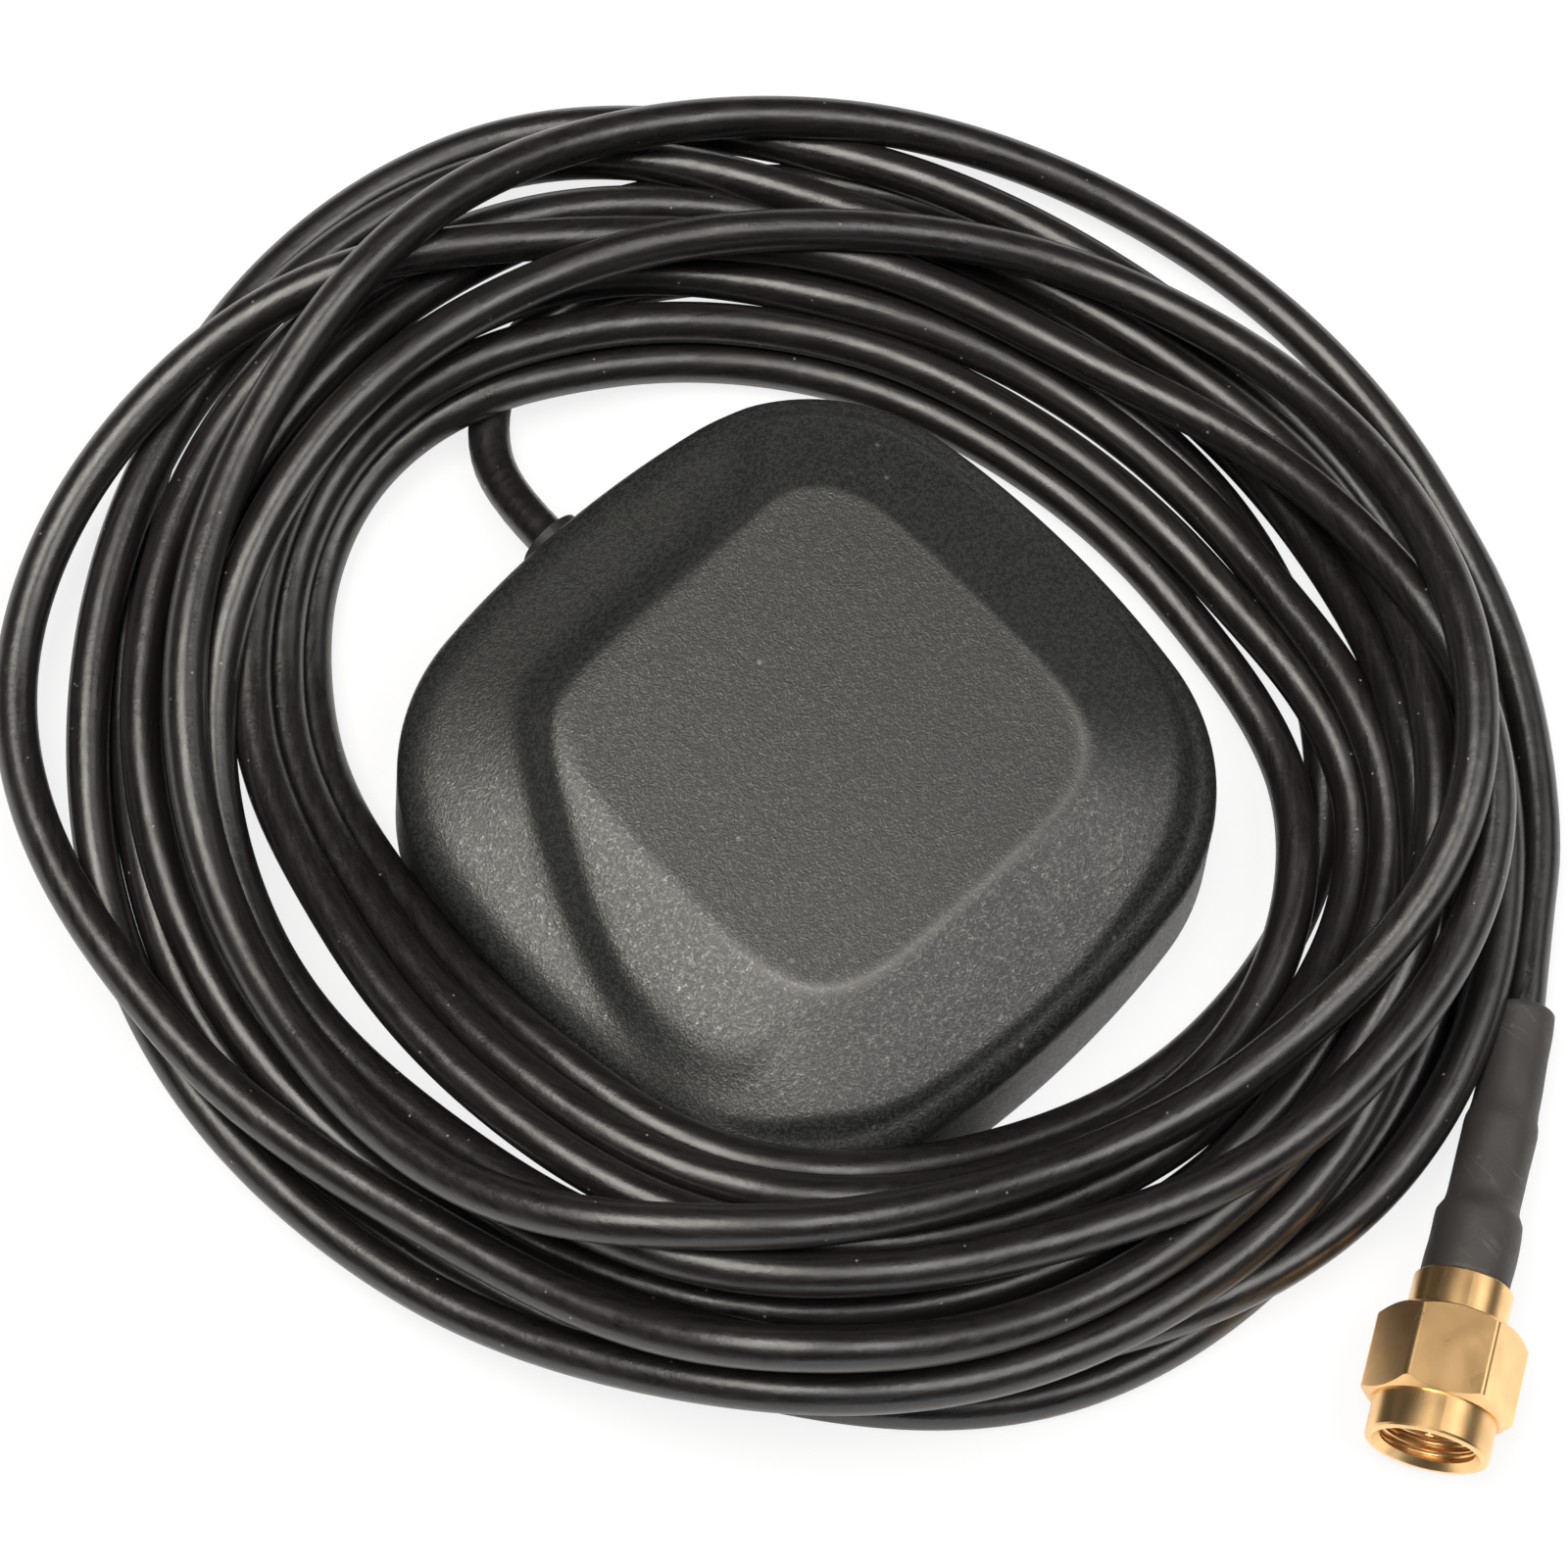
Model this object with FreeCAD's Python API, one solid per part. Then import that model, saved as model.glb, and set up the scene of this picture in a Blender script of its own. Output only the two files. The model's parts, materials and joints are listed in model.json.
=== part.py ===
import FreeCAD, Part
import math
import os

# Active patch antenna: a square plastic puck, a thin coax lead coiled loosely round it, and a coax plug.
# Millimetres. The origin is on the floor under the middle of the puck, the lead leaves towards +Y.

os.makedirs("parts", exist_ok=True)
V = FreeCAD.Vector

# Driving dimensions of the puck
PUCK_HALF = 22.2
PUCK_HEIGHT = 13.4
SIDE_BULGE = 64.0
CORNER = 13.4
WALL_FOOT = 0.5
WALL_TOP = 7.8
WALL_DRAFT = 0.4
WALL_THICK = 2.0
PLATEAU_HALF = 13.2
DOME_SINK = 0.6
DOME_HALF = PUCK_HALF - 5.0
DOME_STEEP_END = PUCK_HALF - 5.8
DOME_LONG_END = PUCK_HALF - 3.0
DOME_TAPER = 0.09

# The cover's shoulder, how far in and how high above the wall
SHOULDER = [(0.0, 0.0), (0.12, 1.0), (0.55, 1.8), (1.5, 2.42), (3.2, 2.85), (5.4, 3.12), (8.0, 3.4)]
# The raised middle's slope, how far in towards the plateau and how high, as shares
DOME_SLOPE = [(0.0, 0.0), (0.15, 0.13), (0.4, 0.47), (0.68, 0.83), (0.88, 0.967), (1.0, 1.0)]
# Unit poles of one side and one corner of the raised middle
DOME_POLES = [(1.0, -0.36), (1.0, 0.36), (0.94, 0.94)]

# Driving dimensions of what the puck holds
FIT_GAP = 0.1
PAD_TOP = 0.8
BASE_TOP = 2.8
GASKET_TOP = 3.4
RIM_WALL = 1.7
TRAY_HALF = PUCK_HALF - RIM_WALL
TRAY_GAP = 0.15
PAD_MARGIN = 0.9
GASKET_WIDTH = 1.1
GASKET_GAP = 0.2
CAVITY_HALF = PUCK_HALF - WALL_THICK - 0.3
CAVITY_TOP = 8.4
CROWN_HALF = CAVITY_HALF - 2.5
POCKET_BASE = 9.2
POCKET_TOP = 10.1
POCKET_GAP = 0.4
BOARD_HALF = PUCK_HALF - 8.2
BOARD_Z = 4.6
BOARD_THICK = 1.0
PATCH_HALF = BOARD_HALF - 1.5
PATCH_THICK = 4.0
PATCH_CHAMFER = 0.4
TAPE_THICK = 0.1
TAPE_MARGIN = 0.7
FOIL_THICK = 0.1
FOIL_MARGIN_X = 2.3
FOIL_MARGIN_Y = 2.7
FOIL_NOTCH = 1.5
FEED_XY = (0.0, -2.2)
FEED_R = 0.4
FEED_HEAD_R = 0.9
FEED_HOLE_R = 0.55
FEED_TAIL = 0.3
BOSS_INSET = 3.3
BOSS_R = 2.2
BOSS_TOP = 9.0
SCREW_R = 1.0
SCREW_HEAD_R = 2.0
SCREW_HEAD = 1.1
SCREW_TIP = 6.8
POST_X = BOARD_HALF - 2.5
POST_Y = BOARD_HALF - 3.0
POST_R = 1.2
MAGNET_X = PUCK_HALF - 7.6
MAGNET_R = 4.0
MAGNET_THICK = 1.5
CAN_HALF = 0.57 * BOARD_HALF
CAN_REAR = -0.5 * BOARD_HALF
CAN_FRONT = 0.465 * BOARD_HALF
CAN_SHEET = 0.2
AMPLIFIER_SIZE = (2.0, 2.0, 0.8)
FILTER_SIZE = (3.0, 2.4, 1.0)
CAPACITOR_SIZE = (0.6, 1.2, 0.6)
INDUCTOR_SIZE = (1.0, 0.6, 0.6)

# Where the lead is stripped inside the puck
LEAD_X = 0.3
GROMMET_R = 2.15
GROMMET_FROM = PUCK_HALF - 1.65
GROMMET_TO = PUCK_HALF + 1.5
JACKET_CUT = PUCK_HALF - 4.6
BRAID_CUT = PUCK_HALF - 7.4
INSULATION_CUT = PUCK_HALF - 8.8
WIRE_DEPTH = 10.6
WIRE_TIP = PUCK_HALF - WIRE_DEPTH
BRAID_TUCK = 0.6
CLIP_FROM = PUCK_HALF - 7.2
CLIP_TO = PUCK_HALF - 5.6
CLIP_HALF = 1.9
CLIP_SHEET = 0.3

# Driving dimensions of the lead
CORD_R = 1.35
DIELECTRIC_R = 0.75
CORE_R = 0.25
BRAID_R = 1.1
COIL_HEIGHT = 8.0

# Driving dimensions of the plug, along its axis from the mouth of the nut
NUT_FLATS = 8.0
NUT_TURN = -5.0
NUT_EDGE_R = 0.45
NUT_CHAMFER = 0.5
NUT_FACE_R = 3.88
COLLAR_R = 3.7
COLLAR_LENGTH = 2.4
COLLAR_EDGE = 0.2
NUT_LENGTH = 7.9
THREAD_R = 3.17
THREAD_ROOT_R = 2.86
THREAD_PITCH = 0.706
THREAD_FRONT = 0.42
THREAD_TURNS = 6
THREAD_REAR = 5.65
RUNNING_GAP = 0.1
NECK_R = 2.4
SHELL_FRONT = 3.1
SHELL_R = 2.29
SHELL_BORE_R = 2.05
SEAT_FRONT = 4.6
SEAT_REAR = 5.5
SEAT_R = 2.68
NECK_GROOVE_R = 2.1
NECK_GROOVE = (6.2, 6.8)
NUT_GROOVE_R = 3.0
NUT_GROOVE = (6.15, 6.85)
RING_R = (2.15, 2.85)
RING_SPAN = (6.3, 6.7)
RING_SLOT = 0.5
SHELL_END = 8.0
PIN_R = 0.44
PIN_BACK = 9.6
SLIP = 0.02
FLANGE_R = 3.0
FLANGE_EDGE = 0.15
FLANGE_FRONT = 8.1
FLANGE_REAR = 10.6
BARREL_R = 2.25
BARREL_FRONT = 15.3
STUB_R = 1.3
STUB_BORE_R = 0.8
STUB_REAR = 20.6
FERRULE_R = 1.8
FERRULE_BORE_R = 1.52
BRAID_SPREAD_R = 1.5
FERRULE_REAR = 21.5
STRIPPED = 21.1
SLEEVE_WIDE_R = 2.7
SLEEVE_SLIM_R = 2.25
SLEEVE_END_R = 2.0
SLEEVE_STEP = 14.8
SLEEVE_STRAIGHT = 22.0
SLEEVE_BEND_R = 79.0
SLEEVE_BEND = 5.0

# The plug lies on the floor with its mouth a little raised, and its tail points at the coil
PLUG_HEADING = 29.9
PLUG_TILT = 5.4

# The loose turns lie round the puck. Hours of 30 degrees start at the side of the plug's lead.
COIL_CENTRE = V(0.9, 2.6, 0)
CLOCK_TURN = -49.0
# How far outside the puck's half width the turns reach, at each hour
COIL_OUTSIDE = [22.8, 21.2, 19.2, 20.8, 25.6, 26.0, 26.2, 20.9, 18.4, 18.2, 21.6, 23.0]
COIL_INSIDE = [7.2, 3.7, 2.2, 3.7, 6.4, 8.9, 6.7, 3.7, 3.6, 6.5, 6.2, 7.6]


def clock_point(hour, beyond, height=0.0):
    """A point of the lay-out, from its hour and its distance beyond the puck's half width."""
    angle = math.radians(30 * hour + CLOCK_TURN)
    radius = PUCK_HALF + beyond
    return COIL_CENTRE + V(radius * math.cos(angle), radius * math.sin(angle), height)


MOUTH_HOUR = -1.443
MOUTH_BEYOND = 34.58
MOUTH_HEIGHT = 4.73
MOUTH = clock_point(MOUTH_HOUR, MOUTH_BEYOND, MOUTH_HEIGHT)
# The lead's loose ends, from the puck into the coil and from the plug to the coil
LEAD_DRIFT = [0.0, 0.1, 1.5, 4.2]
LEAD_REACH = [0.0, 4.7, 9.3, 13.3]
LEAD_HEIGHT = [3.4, 2.3, 1.45, 1.4]
LEAD_ROUTE = [V(LEAD_X + drift, GROMMET_TO + reach, height)
              for drift, reach, height in zip(LEAD_DRIFT, LEAD_REACH, LEAD_HEIGHT)]
EXIT_Z = LEAD_ROUTE[0].z
TAIL_HOURS = [(-0.173, 25.01, 1.55), (0.137, 25.25, 1.4), (0.547, 25.15, 1.4), (1.037, 24.76, 1.4),
              (1.527, 24.77, 1.4), (2.017, 24.63, 1.4), (2.5, 23.96, 2.3), (2.993, 22.82, 4.3),
              (3.5, 21.95, 6.0), (3.817, 21.52, 6.5)]
TAIL_ROUTE = [clock_point(*stop) for stop in TAIL_HOURS]


def save(shape, name):
    """Write one node and say how large it is."""
    assert shape.isValid(), name
    shape.exportStep("parts/" + name + ".step")
    print(name, len(shape.Solids), round(shape.Volume, 2))


def square_points(half, bulge, corner):
    """The tangent point of a side and a corner of a square with bulging sides, and the corner's middle."""
    far = half - bulge
    near = (2 * far + math.sqrt(4 * far * far - 8 * (far * far - (bulge - corner) ** 2))) / 4
    along = (near - far) / (bulge - corner)
    across = near / (bulge - corner)
    return V(far + bulge * along, bulge * across, 0), near + corner / math.sqrt(2)


def bulged_square(half, bulge, corner, z):
    """A square wire with arcs for its sides and its corners."""
    touch, tip = square_points(half, bulge, corner)
    edges = []
    for quarter in range(4):
        turn = FreeCAD.Rotation(V(0, 0, 1), 90 * quarter)
        side = [V(touch.x, -touch.y, z), V(half, 0, z), V(touch.x, touch.y, z)]
        bend = [V(touch.x, touch.y, z), V(tip, tip, z), V(touch.y, touch.x, z)]
        for trio in (side, bend):
            edges.append(Part.Arc(*[turn.multVec(p) for p in trio]).toShape())
    return Part.Wire(edges)


def slab(half, z0, z1, corner=None):
    """A plate with the puck's outline between two heights."""
    shrink = PUCK_HALF - half
    radius = corner or max(CORNER - shrink, 1.0)
    face = Part.Face(bulged_square(half, SIDE_BULGE - shrink, radius, z0))
    return face.extrude(V(0, 0, z1 - z0))


def boss_places():
    """Where the cover's four bosses and their screws stand, near the corners of the puck."""
    across = square_points(PUCK_HALF, SIDE_BULGE, CORNER)[1] - BOSS_INSET
    return [(x, y) for x in (-across, across) for y in (-across, across)]


def block(x0, x1, y0, y1, z0, z1):
    """A box between two corners."""
    return Part.makeBox(x1 - x0, y1 - y0, z1 - z0, V(x0, y0, z0))


def pin(r, x, y, z0, z1):
    """An upright cylinder."""
    return Part.makeCylinder(r, z1 - z0, V(x, y, z0))


def along_y(r, y0, y1):
    """A cylinder on the lead's line where it goes through the wall."""
    return Part.makeCylinder(r, y1 - y0, V(LEAD_ROUTE[0].x, y0, EXIT_Z), V(0, 1, 0))


def turned(points):
    """A solid turned about Z from radius and height pairs."""
    wire = Part.makePolygon([V(r, 0, z) for r, z in points + points[:1]])
    return Part.Face(wire).revolve(V(0, 0, 0), V(0, 0, 1), 360)


def smooth_outline(points):
    """A closed smooth wire through points."""
    curve = Part.BSplineCurve()
    curve.interpolate(Points=points, PeriodicFlag=True)
    return Part.Wire(curve.toShape())


# Cover of the puck

def pillow():
    """The cover's wall, rounded shoulder and gently crowned ledge."""
    foot = bulged_square(PUCK_HALF + WALL_DRAFT, SIDE_BULGE, CORNER, WALL_FOOT)
    rim = bulged_square(PUCK_HALF, SIDE_BULGE, CORNER, WALL_TOP)
    wall = Part.makeLoft([foot, rim], True, True)
    rings = []
    for inset, rise in SHOULDER:
        rings.append(bulged_square(PUCK_HALF - inset, SIDE_BULGE - inset, CORNER - inset, WALL_TOP + rise))
    return wall.fuse(Part.makeLoft(rings, True, False))


def dome():
    """The raised middle, steep beside the lead's end of the puck and long at the other end."""
    low = WALL_TOP + SHOULDER[4][1] - DOME_SINK
    rings = []
    for share, rise in DOME_SLOPE:
        poles = []
        for quarter in range(4):
            turn = FreeCAD.Rotation(V(0, 0, 1), 90 * quarter)
            for pole in DOME_POLES:
                unit = turn.multVec(V(*pole, 0))
                y = unit.y * (DOME_STEEP_END if unit.y > 0 else DOME_LONG_END)
                foot = V(unit.x * (DOME_HALF - DOME_TAPER * y), y, low)
                top = V(unit.x * PLATEAU_HALF, unit.y * PLATEAU_HALF, low)
                poles.append(foot + (top - foot) * share + V(0, 0, rise * (PUCK_HEIGHT - low)))
        curve = Part.BSplineCurve()
        curve.buildFromPoles(poles, True, 3)
        rings.append(Part.Wire(curve.toShape()))
    return Part.makeLoft(rings, True, False)


def top_cover():
    """The one-piece moulded cover, hollowed in steps, with its four screw bosses."""
    outer = pillow().fuse(dome())
    hollow = slab(TRAY_HALF, WALL_FOOT - 1, GASKET_TOP)
    hollow = hollow.fuse(slab(CAVITY_HALF, GASKET_TOP, CAVITY_TOP))
    hollow = hollow.fuse(slab(CROWN_HALF, CAVITY_TOP, POCKET_BASE))
    pocket = PATCH_HALF + POCKET_GAP
    hollow = hollow.fuse(block(-pocket, pocket, -pocket, pocket, POCKET_BASE, POCKET_TOP))
    for x, y in boss_places():
        hollow = hollow.cut(pin(BOSS_R, x, y, BASE_TOP + FIT_GAP, BOSS_TOP))
        hollow = hollow.fuse(pin(SCREW_R, x, y, BASE_TOP, SCREW_TIP + FIT_GAP))
    hollow = hollow.fuse(along_y(GROMMET_R + FIT_GAP / 2, CAVITY_HALF - 1, GROMMET_TO + 1))
    return outer.cut(hollow)


# Inside of the puck

def base_plate():
    """The tray that closes the cover, with magnet pockets, board posts and countersunk holes."""
    plate = slab(TRAY_HALF - TRAY_GAP, PAD_TOP, BASE_TOP)
    for x in (-POST_X, POST_X):
        for y in (-POST_Y, POST_Y):
            plate = plate.fuse(pin(POST_R, x, y, BASE_TOP, BOARD_Z))
    for side in (-1, 1):
        plate = plate.cut(pin(MAGNET_R + FIT_GAP, side * MAGNET_X, 0, PAD_TOP, PAD_TOP + MAGNET_THICK + FIT_GAP))
    for x, y in boss_places():
        plate = plate.cut(pin(SCREW_R + FIT_GAP, x, y, PAD_TOP, BASE_TOP))
        plate = plate.cut(pin(SCREW_HEAD_R + FIT_GAP, x, y, PAD_TOP, PAD_TOP + SCREW_HEAD))
    clip_room = block(LEAD_X - CLIP_HALF - FIT_GAP, LEAD_X + CLIP_HALF + FIT_GAP, CLIP_FROM - FIT_GAP,
                      CLIP_TO + FIT_GAP, EXIT_Z - CORD_R - FIT_GAP, BASE_TOP)
    return plate.cut(clip_room).cut(along_y(CORD_R + FIT_GAP, INSULATION_CUT - FIT_GAP, TRAY_HALF + 1))


def base_screws():
    """Four pan-head screws that hold the tray to the cover's bosses."""
    screws = []
    under, top = PAD_TOP + FIT_GAP / 2, PAD_TOP + SCREW_HEAD
    reach, half, deep = 0.65 * SCREW_HEAD_R, 0.1 * SCREW_HEAD_R, under + SCREW_HEAD / 2
    for x, y in boss_places():
        head = pin(SCREW_HEAD_R - FIT_GAP / 2, x, y, under, top)
        slot = block(x - reach, x + reach, y - half, y + half, PAD_TOP, deep)
        cross = block(x - half, x + half, y - reach, y + reach, PAD_TOP, deep)
        screws.append(head.fuse(pin(SCREW_R - SLIP, x, y, top, SCREW_TIP)).cut(slot.fuse(cross)))
    return Part.makeCompound(screws)


def magnets():
    """Two disc magnets in the tray's pockets."""
    discs = [pin(MAGNET_R, side * MAGNET_X, 0, PAD_TOP + SLIP, PAD_TOP + MAGNET_THICK) for side in (-1, 1)]
    return Part.makeCompound(discs)


def gasket():
    """The flat seal between the tray and the cover, open where the lead passes."""
    outside = TRAY_HALF - GASKET_GAP
    ring = slab(outside, BASE_TOP, GASKET_TOP)
    ring = ring.cut(slab(outside - GASKET_WIDTH, BASE_TOP - 1, GASKET_TOP + 1))
    for x, y in boss_places():
        ring = ring.cut(pin(BOSS_R + FIT_GAP, x, y, BASE_TOP, GASKET_TOP))
    return ring.cut(along_y(CORD_R + FIT_GAP, outside - 2 * GASKET_WIDTH, TRAY_HALF + GASKET_WIDTH))


def circuit_board():
    """The amplifier's board, notched round the bosses and drilled for the feed pin."""
    board = block(-BOARD_HALF, BOARD_HALF, -BOARD_HALF, BOARD_HALF, BOARD_Z, BOARD_Z + BOARD_THICK)
    for x, y in boss_places():
        board = board.cut(pin(BOSS_R + POCKET_GAP, x, y, BOARD_Z, BOARD_Z + BOARD_THICK))
    return board.cut(pin(FEED_HOLE_R, FEED_XY[0], FEED_XY[1], BOARD_Z, BOARD_Z + BOARD_THICK))


def patch_layers():
    """Tape, ceramic and silver foil, each drilled for the feed pin."""
    hole_x, hole_y = FEED_XY
    tape_z = BOARD_Z + BOARD_THICK
    ceramic_z = tape_z + TAPE_THICK
    foil_z = ceramic_z + PATCH_THICK
    half = PATCH_HALF - TAPE_MARGIN
    tape = block(-half, half, -half, half, tape_z, ceramic_z)
    ceramic = block(-PATCH_HALF, PATCH_HALF, -PATCH_HALF, PATCH_HALF, ceramic_z, foil_z)
    ceramic = ceramic.makeChamfer(PATCH_CHAMFER, [e for e in ceramic.Edges if abs(e.Length - PATCH_THICK) < 0.01])
    half_x, half_y = PATCH_HALF - FOIL_MARGIN_X, PATCH_HALF - FOIL_MARGIN_Y
    foil = block(-half_x, half_x, -half_y, half_y, foil_z, foil_z + FOIL_THICK)
    foil = foil.cut(block(-half_x - 1, FOIL_NOTCH - half_x, -half_y - 1, FOIL_NOTCH - half_y, foil_z, foil_z + 1))
    cutter = pin(FEED_HOLE_R, hole_x, hole_y, BOARD_Z, foil_z + 1)
    return tape.cut(cutter), ceramic.cut(cutter), foil.cut(cutter)


def feed_pin():
    """The headed pin that carries the signal from the foil to the board."""
    foil_top = BOARD_Z + BOARD_THICK + TAPE_THICK + PATCH_THICK + FOIL_THICK
    stem = pin(FEED_R, FEED_XY[0], FEED_XY[1], BOARD_Z - FEED_TAIL, foil_top)
    head = pin(FEED_HEAD_R, FEED_XY[0], FEED_XY[1], foil_top, foil_top + 0.15)
    return stem.fuse(head)


def feed_solder():
    """The solder cone round the feed pin under the board."""
    cone = Part.makeCone(FEED_R + 0.1, FEED_R + 0.6, FEED_TAIL, V(FEED_XY[0], FEED_XY[1], BOARD_Z - FEED_TAIL))
    return cone.cut(pin(FEED_R, FEED_XY[0], FEED_XY[1], BOARD_Z - 1, BOARD_Z))


def shield_can():
    """The pressed tin lid over the amplifier, under the board."""
    floor = BASE_TOP + FIT_GAP
    half = CAN_HALF - CAN_SHEET
    can = block(-CAN_HALF, CAN_HALF, CAN_REAR, CAN_FRONT, floor, BOARD_Z)
    return can.cut(block(-half, half, CAN_REAR + CAN_SHEET, CAN_FRONT - CAN_SHEET, floor + CAN_SHEET, BOARD_Z))


def chips(places, size):
    """Small surface parts under the board, one solid at each place, as shares of the board's half width."""
    size_x, size_y, height = size
    solids = []
    for across, along in places:
        x, y = across * BOARD_HALF, along * BOARD_HALF
        solids.append(block(x - size_x / 2, x + size_x / 2, y - size_y / 2, y + size_y / 2, BOARD_Z - height, BOARD_Z))
    return Part.makeCompound(solids)


# Where the lead enters

def cable_grommet():
    """The rubber sleeve in the cover's wall."""
    body = along_y(GROMMET_R, GROMMET_FROM, GROMMET_TO)
    return body.cut(along_y(CORD_R, GROMMET_FROM - 1, GROMMET_TO + 1))


def lead_end():
    """Jacket, braid, insulation and wire where the lead is stripped inside the puck."""
    tuck = JACKET_CUT - BRAID_TUCK
    jacket = along_y(CORD_R, tuck, GROMMET_TO).cut(along_y(BRAID_R, tuck - 1, JACKET_CUT))
    braid = along_y(BRAID_R, BRAID_CUT, JACKET_CUT).cut(along_y(DIELECTRIC_R, BRAID_CUT - 1, JACKET_CUT + 1))
    insulation = along_y(DIELECTRIC_R, INSULATION_CUT, JACKET_CUT)
    insulation = insulation.cut(along_y(CORE_R, INSULATION_CUT - 1, JACKET_CUT + 1))
    core = along_y(CORE_R, WIRE_TIP, JACKET_CUT)
    return jacket, braid, insulation, core


def lead_solder():
    """The solder cone that joins the wire to the board."""
    cone = Part.makeCone(CORE_R + 0.2, CORE_R + 0.65, BOARD_Z - EXIT_Z, V(LEAD_X, WIRE_TIP + 0.6, EXIT_Z))
    return cone.cut(along_y(CORE_R, WIRE_TIP - 1, INSULATION_CUT))


def braid_clip():
    """The folded strap that holds the braid to the board's edge."""
    strap = block(LEAD_X - CLIP_HALF, LEAD_X + CLIP_HALF, CLIP_FROM, CLIP_TO, EXIT_Z - CORD_R, EXIT_Z + BRAID_R)
    strap = strap.cut(along_y(BRAID_R, CLIP_FROM - 1, CLIP_TO + 1))
    room = CLIP_HALF - CLIP_SHEET
    return strap.cut(block(LEAD_X - room, LEAD_X + room, CLIP_FROM - 1, CLIP_TO + 1, EXIT_Z, BOARD_Z))


# Plug, built upright with the mouth of the nut at zero, then laid in its place

def lay_plug(shape):
    """Turn an upright shape on to the plug's line."""
    heading, tilt = math.radians(PLUG_HEADING), math.radians(PLUG_TILT)
    back = V(math.cos(heading) * math.cos(tilt), math.sin(heading) * math.cos(tilt), -math.sin(tilt))
    right = back.cross(V(0, 0, 1)).normalize()
    up = right.cross(back)
    laid = shape.copy()
    laid.Placement = FreeCAD.Placement(MOUTH, FreeCAD.Rotation(up, right, back, "ZXY"))
    return laid


def coupling_nut():
    """The hexagon nut with its round collar, thread and the groove for the retaining ring."""
    corner = NUT_FLATS / math.sqrt(3)
    angles = [math.radians(30 + NUT_TURN + 60 * i) for i in range(7)]
    flats = [V(corner * math.cos(angle), corner * math.sin(angle), COLLAR_LENGTH) for angle in angles]
    hexagon = Part.Face(Part.makePolygon(flats)).extrude(V(0, 0, NUT_LENGTH - COLLAR_LENGTH))
    upright = [e for e in hexagon.Edges if abs(e.Vertexes[0].Z - e.Vertexes[1].Z) > 1]
    hexagon = hexagon.makeFillet(NUT_EDGE_R, upright)
    hexagon = hexagon.common(turned([(0, COLLAR_LENGTH), (NUT_FACE_R, COLLAR_LENGTH),
                                     (corner, COLLAR_LENGTH + NUT_CHAMFER), (corner, NUT_LENGTH - NUT_CHAMFER),
                                     (NUT_FACE_R, NUT_LENGTH), (0, NUT_LENGTH)]))
    collar = turned([(0, 0), (COLLAR_R - COLLAR_EDGE, 0), (COLLAR_R - COLLAR_EDGE / 3, COLLAR_EDGE / 3),
                     (COLLAR_R, COLLAR_EDGE), (COLLAR_R, COLLAR_LENGTH), (0, COLLAR_LENGTH)])
    bore = [(0, -SLIP), (THREAD_R + FIT_GAP, -SLIP), (THREAD_ROOT_R, THREAD_FRONT)]
    for turn in range(THREAD_TURNS):
        start = THREAD_FRONT + THREAD_PITCH * turn
        for share, radius in ((0.22, THREAD_ROOT_R), (0.6, THREAD_R), (0.98, THREAD_ROOT_R)):
            bore.append((radius, start + share * THREAD_PITCH))
    rear = NECK_R + RUNNING_GAP
    bore += [(THREAD_ROOT_R, THREAD_REAR), (rear, THREAD_REAR), (rear, NUT_GROOVE[0]), (NUT_GROOVE_R, NUT_GROOVE[0]),
             (NUT_GROOVE_R, NUT_GROOVE[1]), (rear, NUT_GROOVE[1]), (rear, NUT_LENGTH + 1), (0, NUT_LENGTH + 1)]
    return hexagon.fuse(collar).cut(turned(bore))


def connector_body():
    """The turned body: front shell, shoulder, neck, rear flange and crimp barrel."""
    return turned([(SHELL_BORE_R, SHELL_FRONT), (SHELL_R, SHELL_FRONT), (SHELL_R, SEAT_FRONT), (SEAT_R, SEAT_FRONT),
                   (SEAT_R, SEAT_REAR), (NECK_R, SEAT_REAR), (NECK_R, NECK_GROOVE[0]),
                   (NECK_GROOVE_R, NECK_GROOVE[0]), (NECK_GROOVE_R, NECK_GROOVE[1]), (NECK_R, NECK_GROOVE[1]),
                   (NECK_R, FLANGE_FRONT), (FLANGE_R - FLANGE_EDGE, FLANGE_FRONT),
                   (FLANGE_R, FLANGE_FRONT + FLANGE_EDGE), (FLANGE_R, FLANGE_REAR - FLANGE_EDGE),
                   (FLANGE_R - FLANGE_EDGE, FLANGE_REAR), (BARREL_R, FLANGE_REAR), (BARREL_R, BARREL_FRONT),
                   (STUB_R, BARREL_FRONT), (STUB_R, STUB_REAR), (STUB_BORE_R, STUB_REAR), (STUB_BORE_R, SHELL_END),
                   (SHELL_BORE_R, SHELL_END)])


def band(inner, outer, front, rear):
    """A plain ring on the plug's axis, solid where its inner radius is zero."""
    return turned([(inner, front), (outer, front), (outer, rear), (inner, rear)])


def retaining_ring():
    """The split ring that keeps the nut on the body."""
    slot = block(1.0, 4.0, -RING_SLOT, RING_SLOT, RING_SPAN[0] - 1, RING_SPAN[1] + 1)
    return band(RING_R[0], RING_R[1], RING_SPAN[0], RING_SPAN[1]).cut(slot)


def centre_pin():
    """The pointed contact, hollow behind where it takes the wire."""
    tip, shank, head = SHELL_FRONT - 2.2, SHELL_END + 0.6, PIN_BACK
    return turned([(0, tip), (CORE_R, tip + 0.05), (PIN_R, tip + 0.6), (PIN_R, shank), (0.7, shank), (0.7, head),
                   (CORE_R, head), (CORE_R, shank + 0.2), (0, shank + 0.2)])


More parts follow.
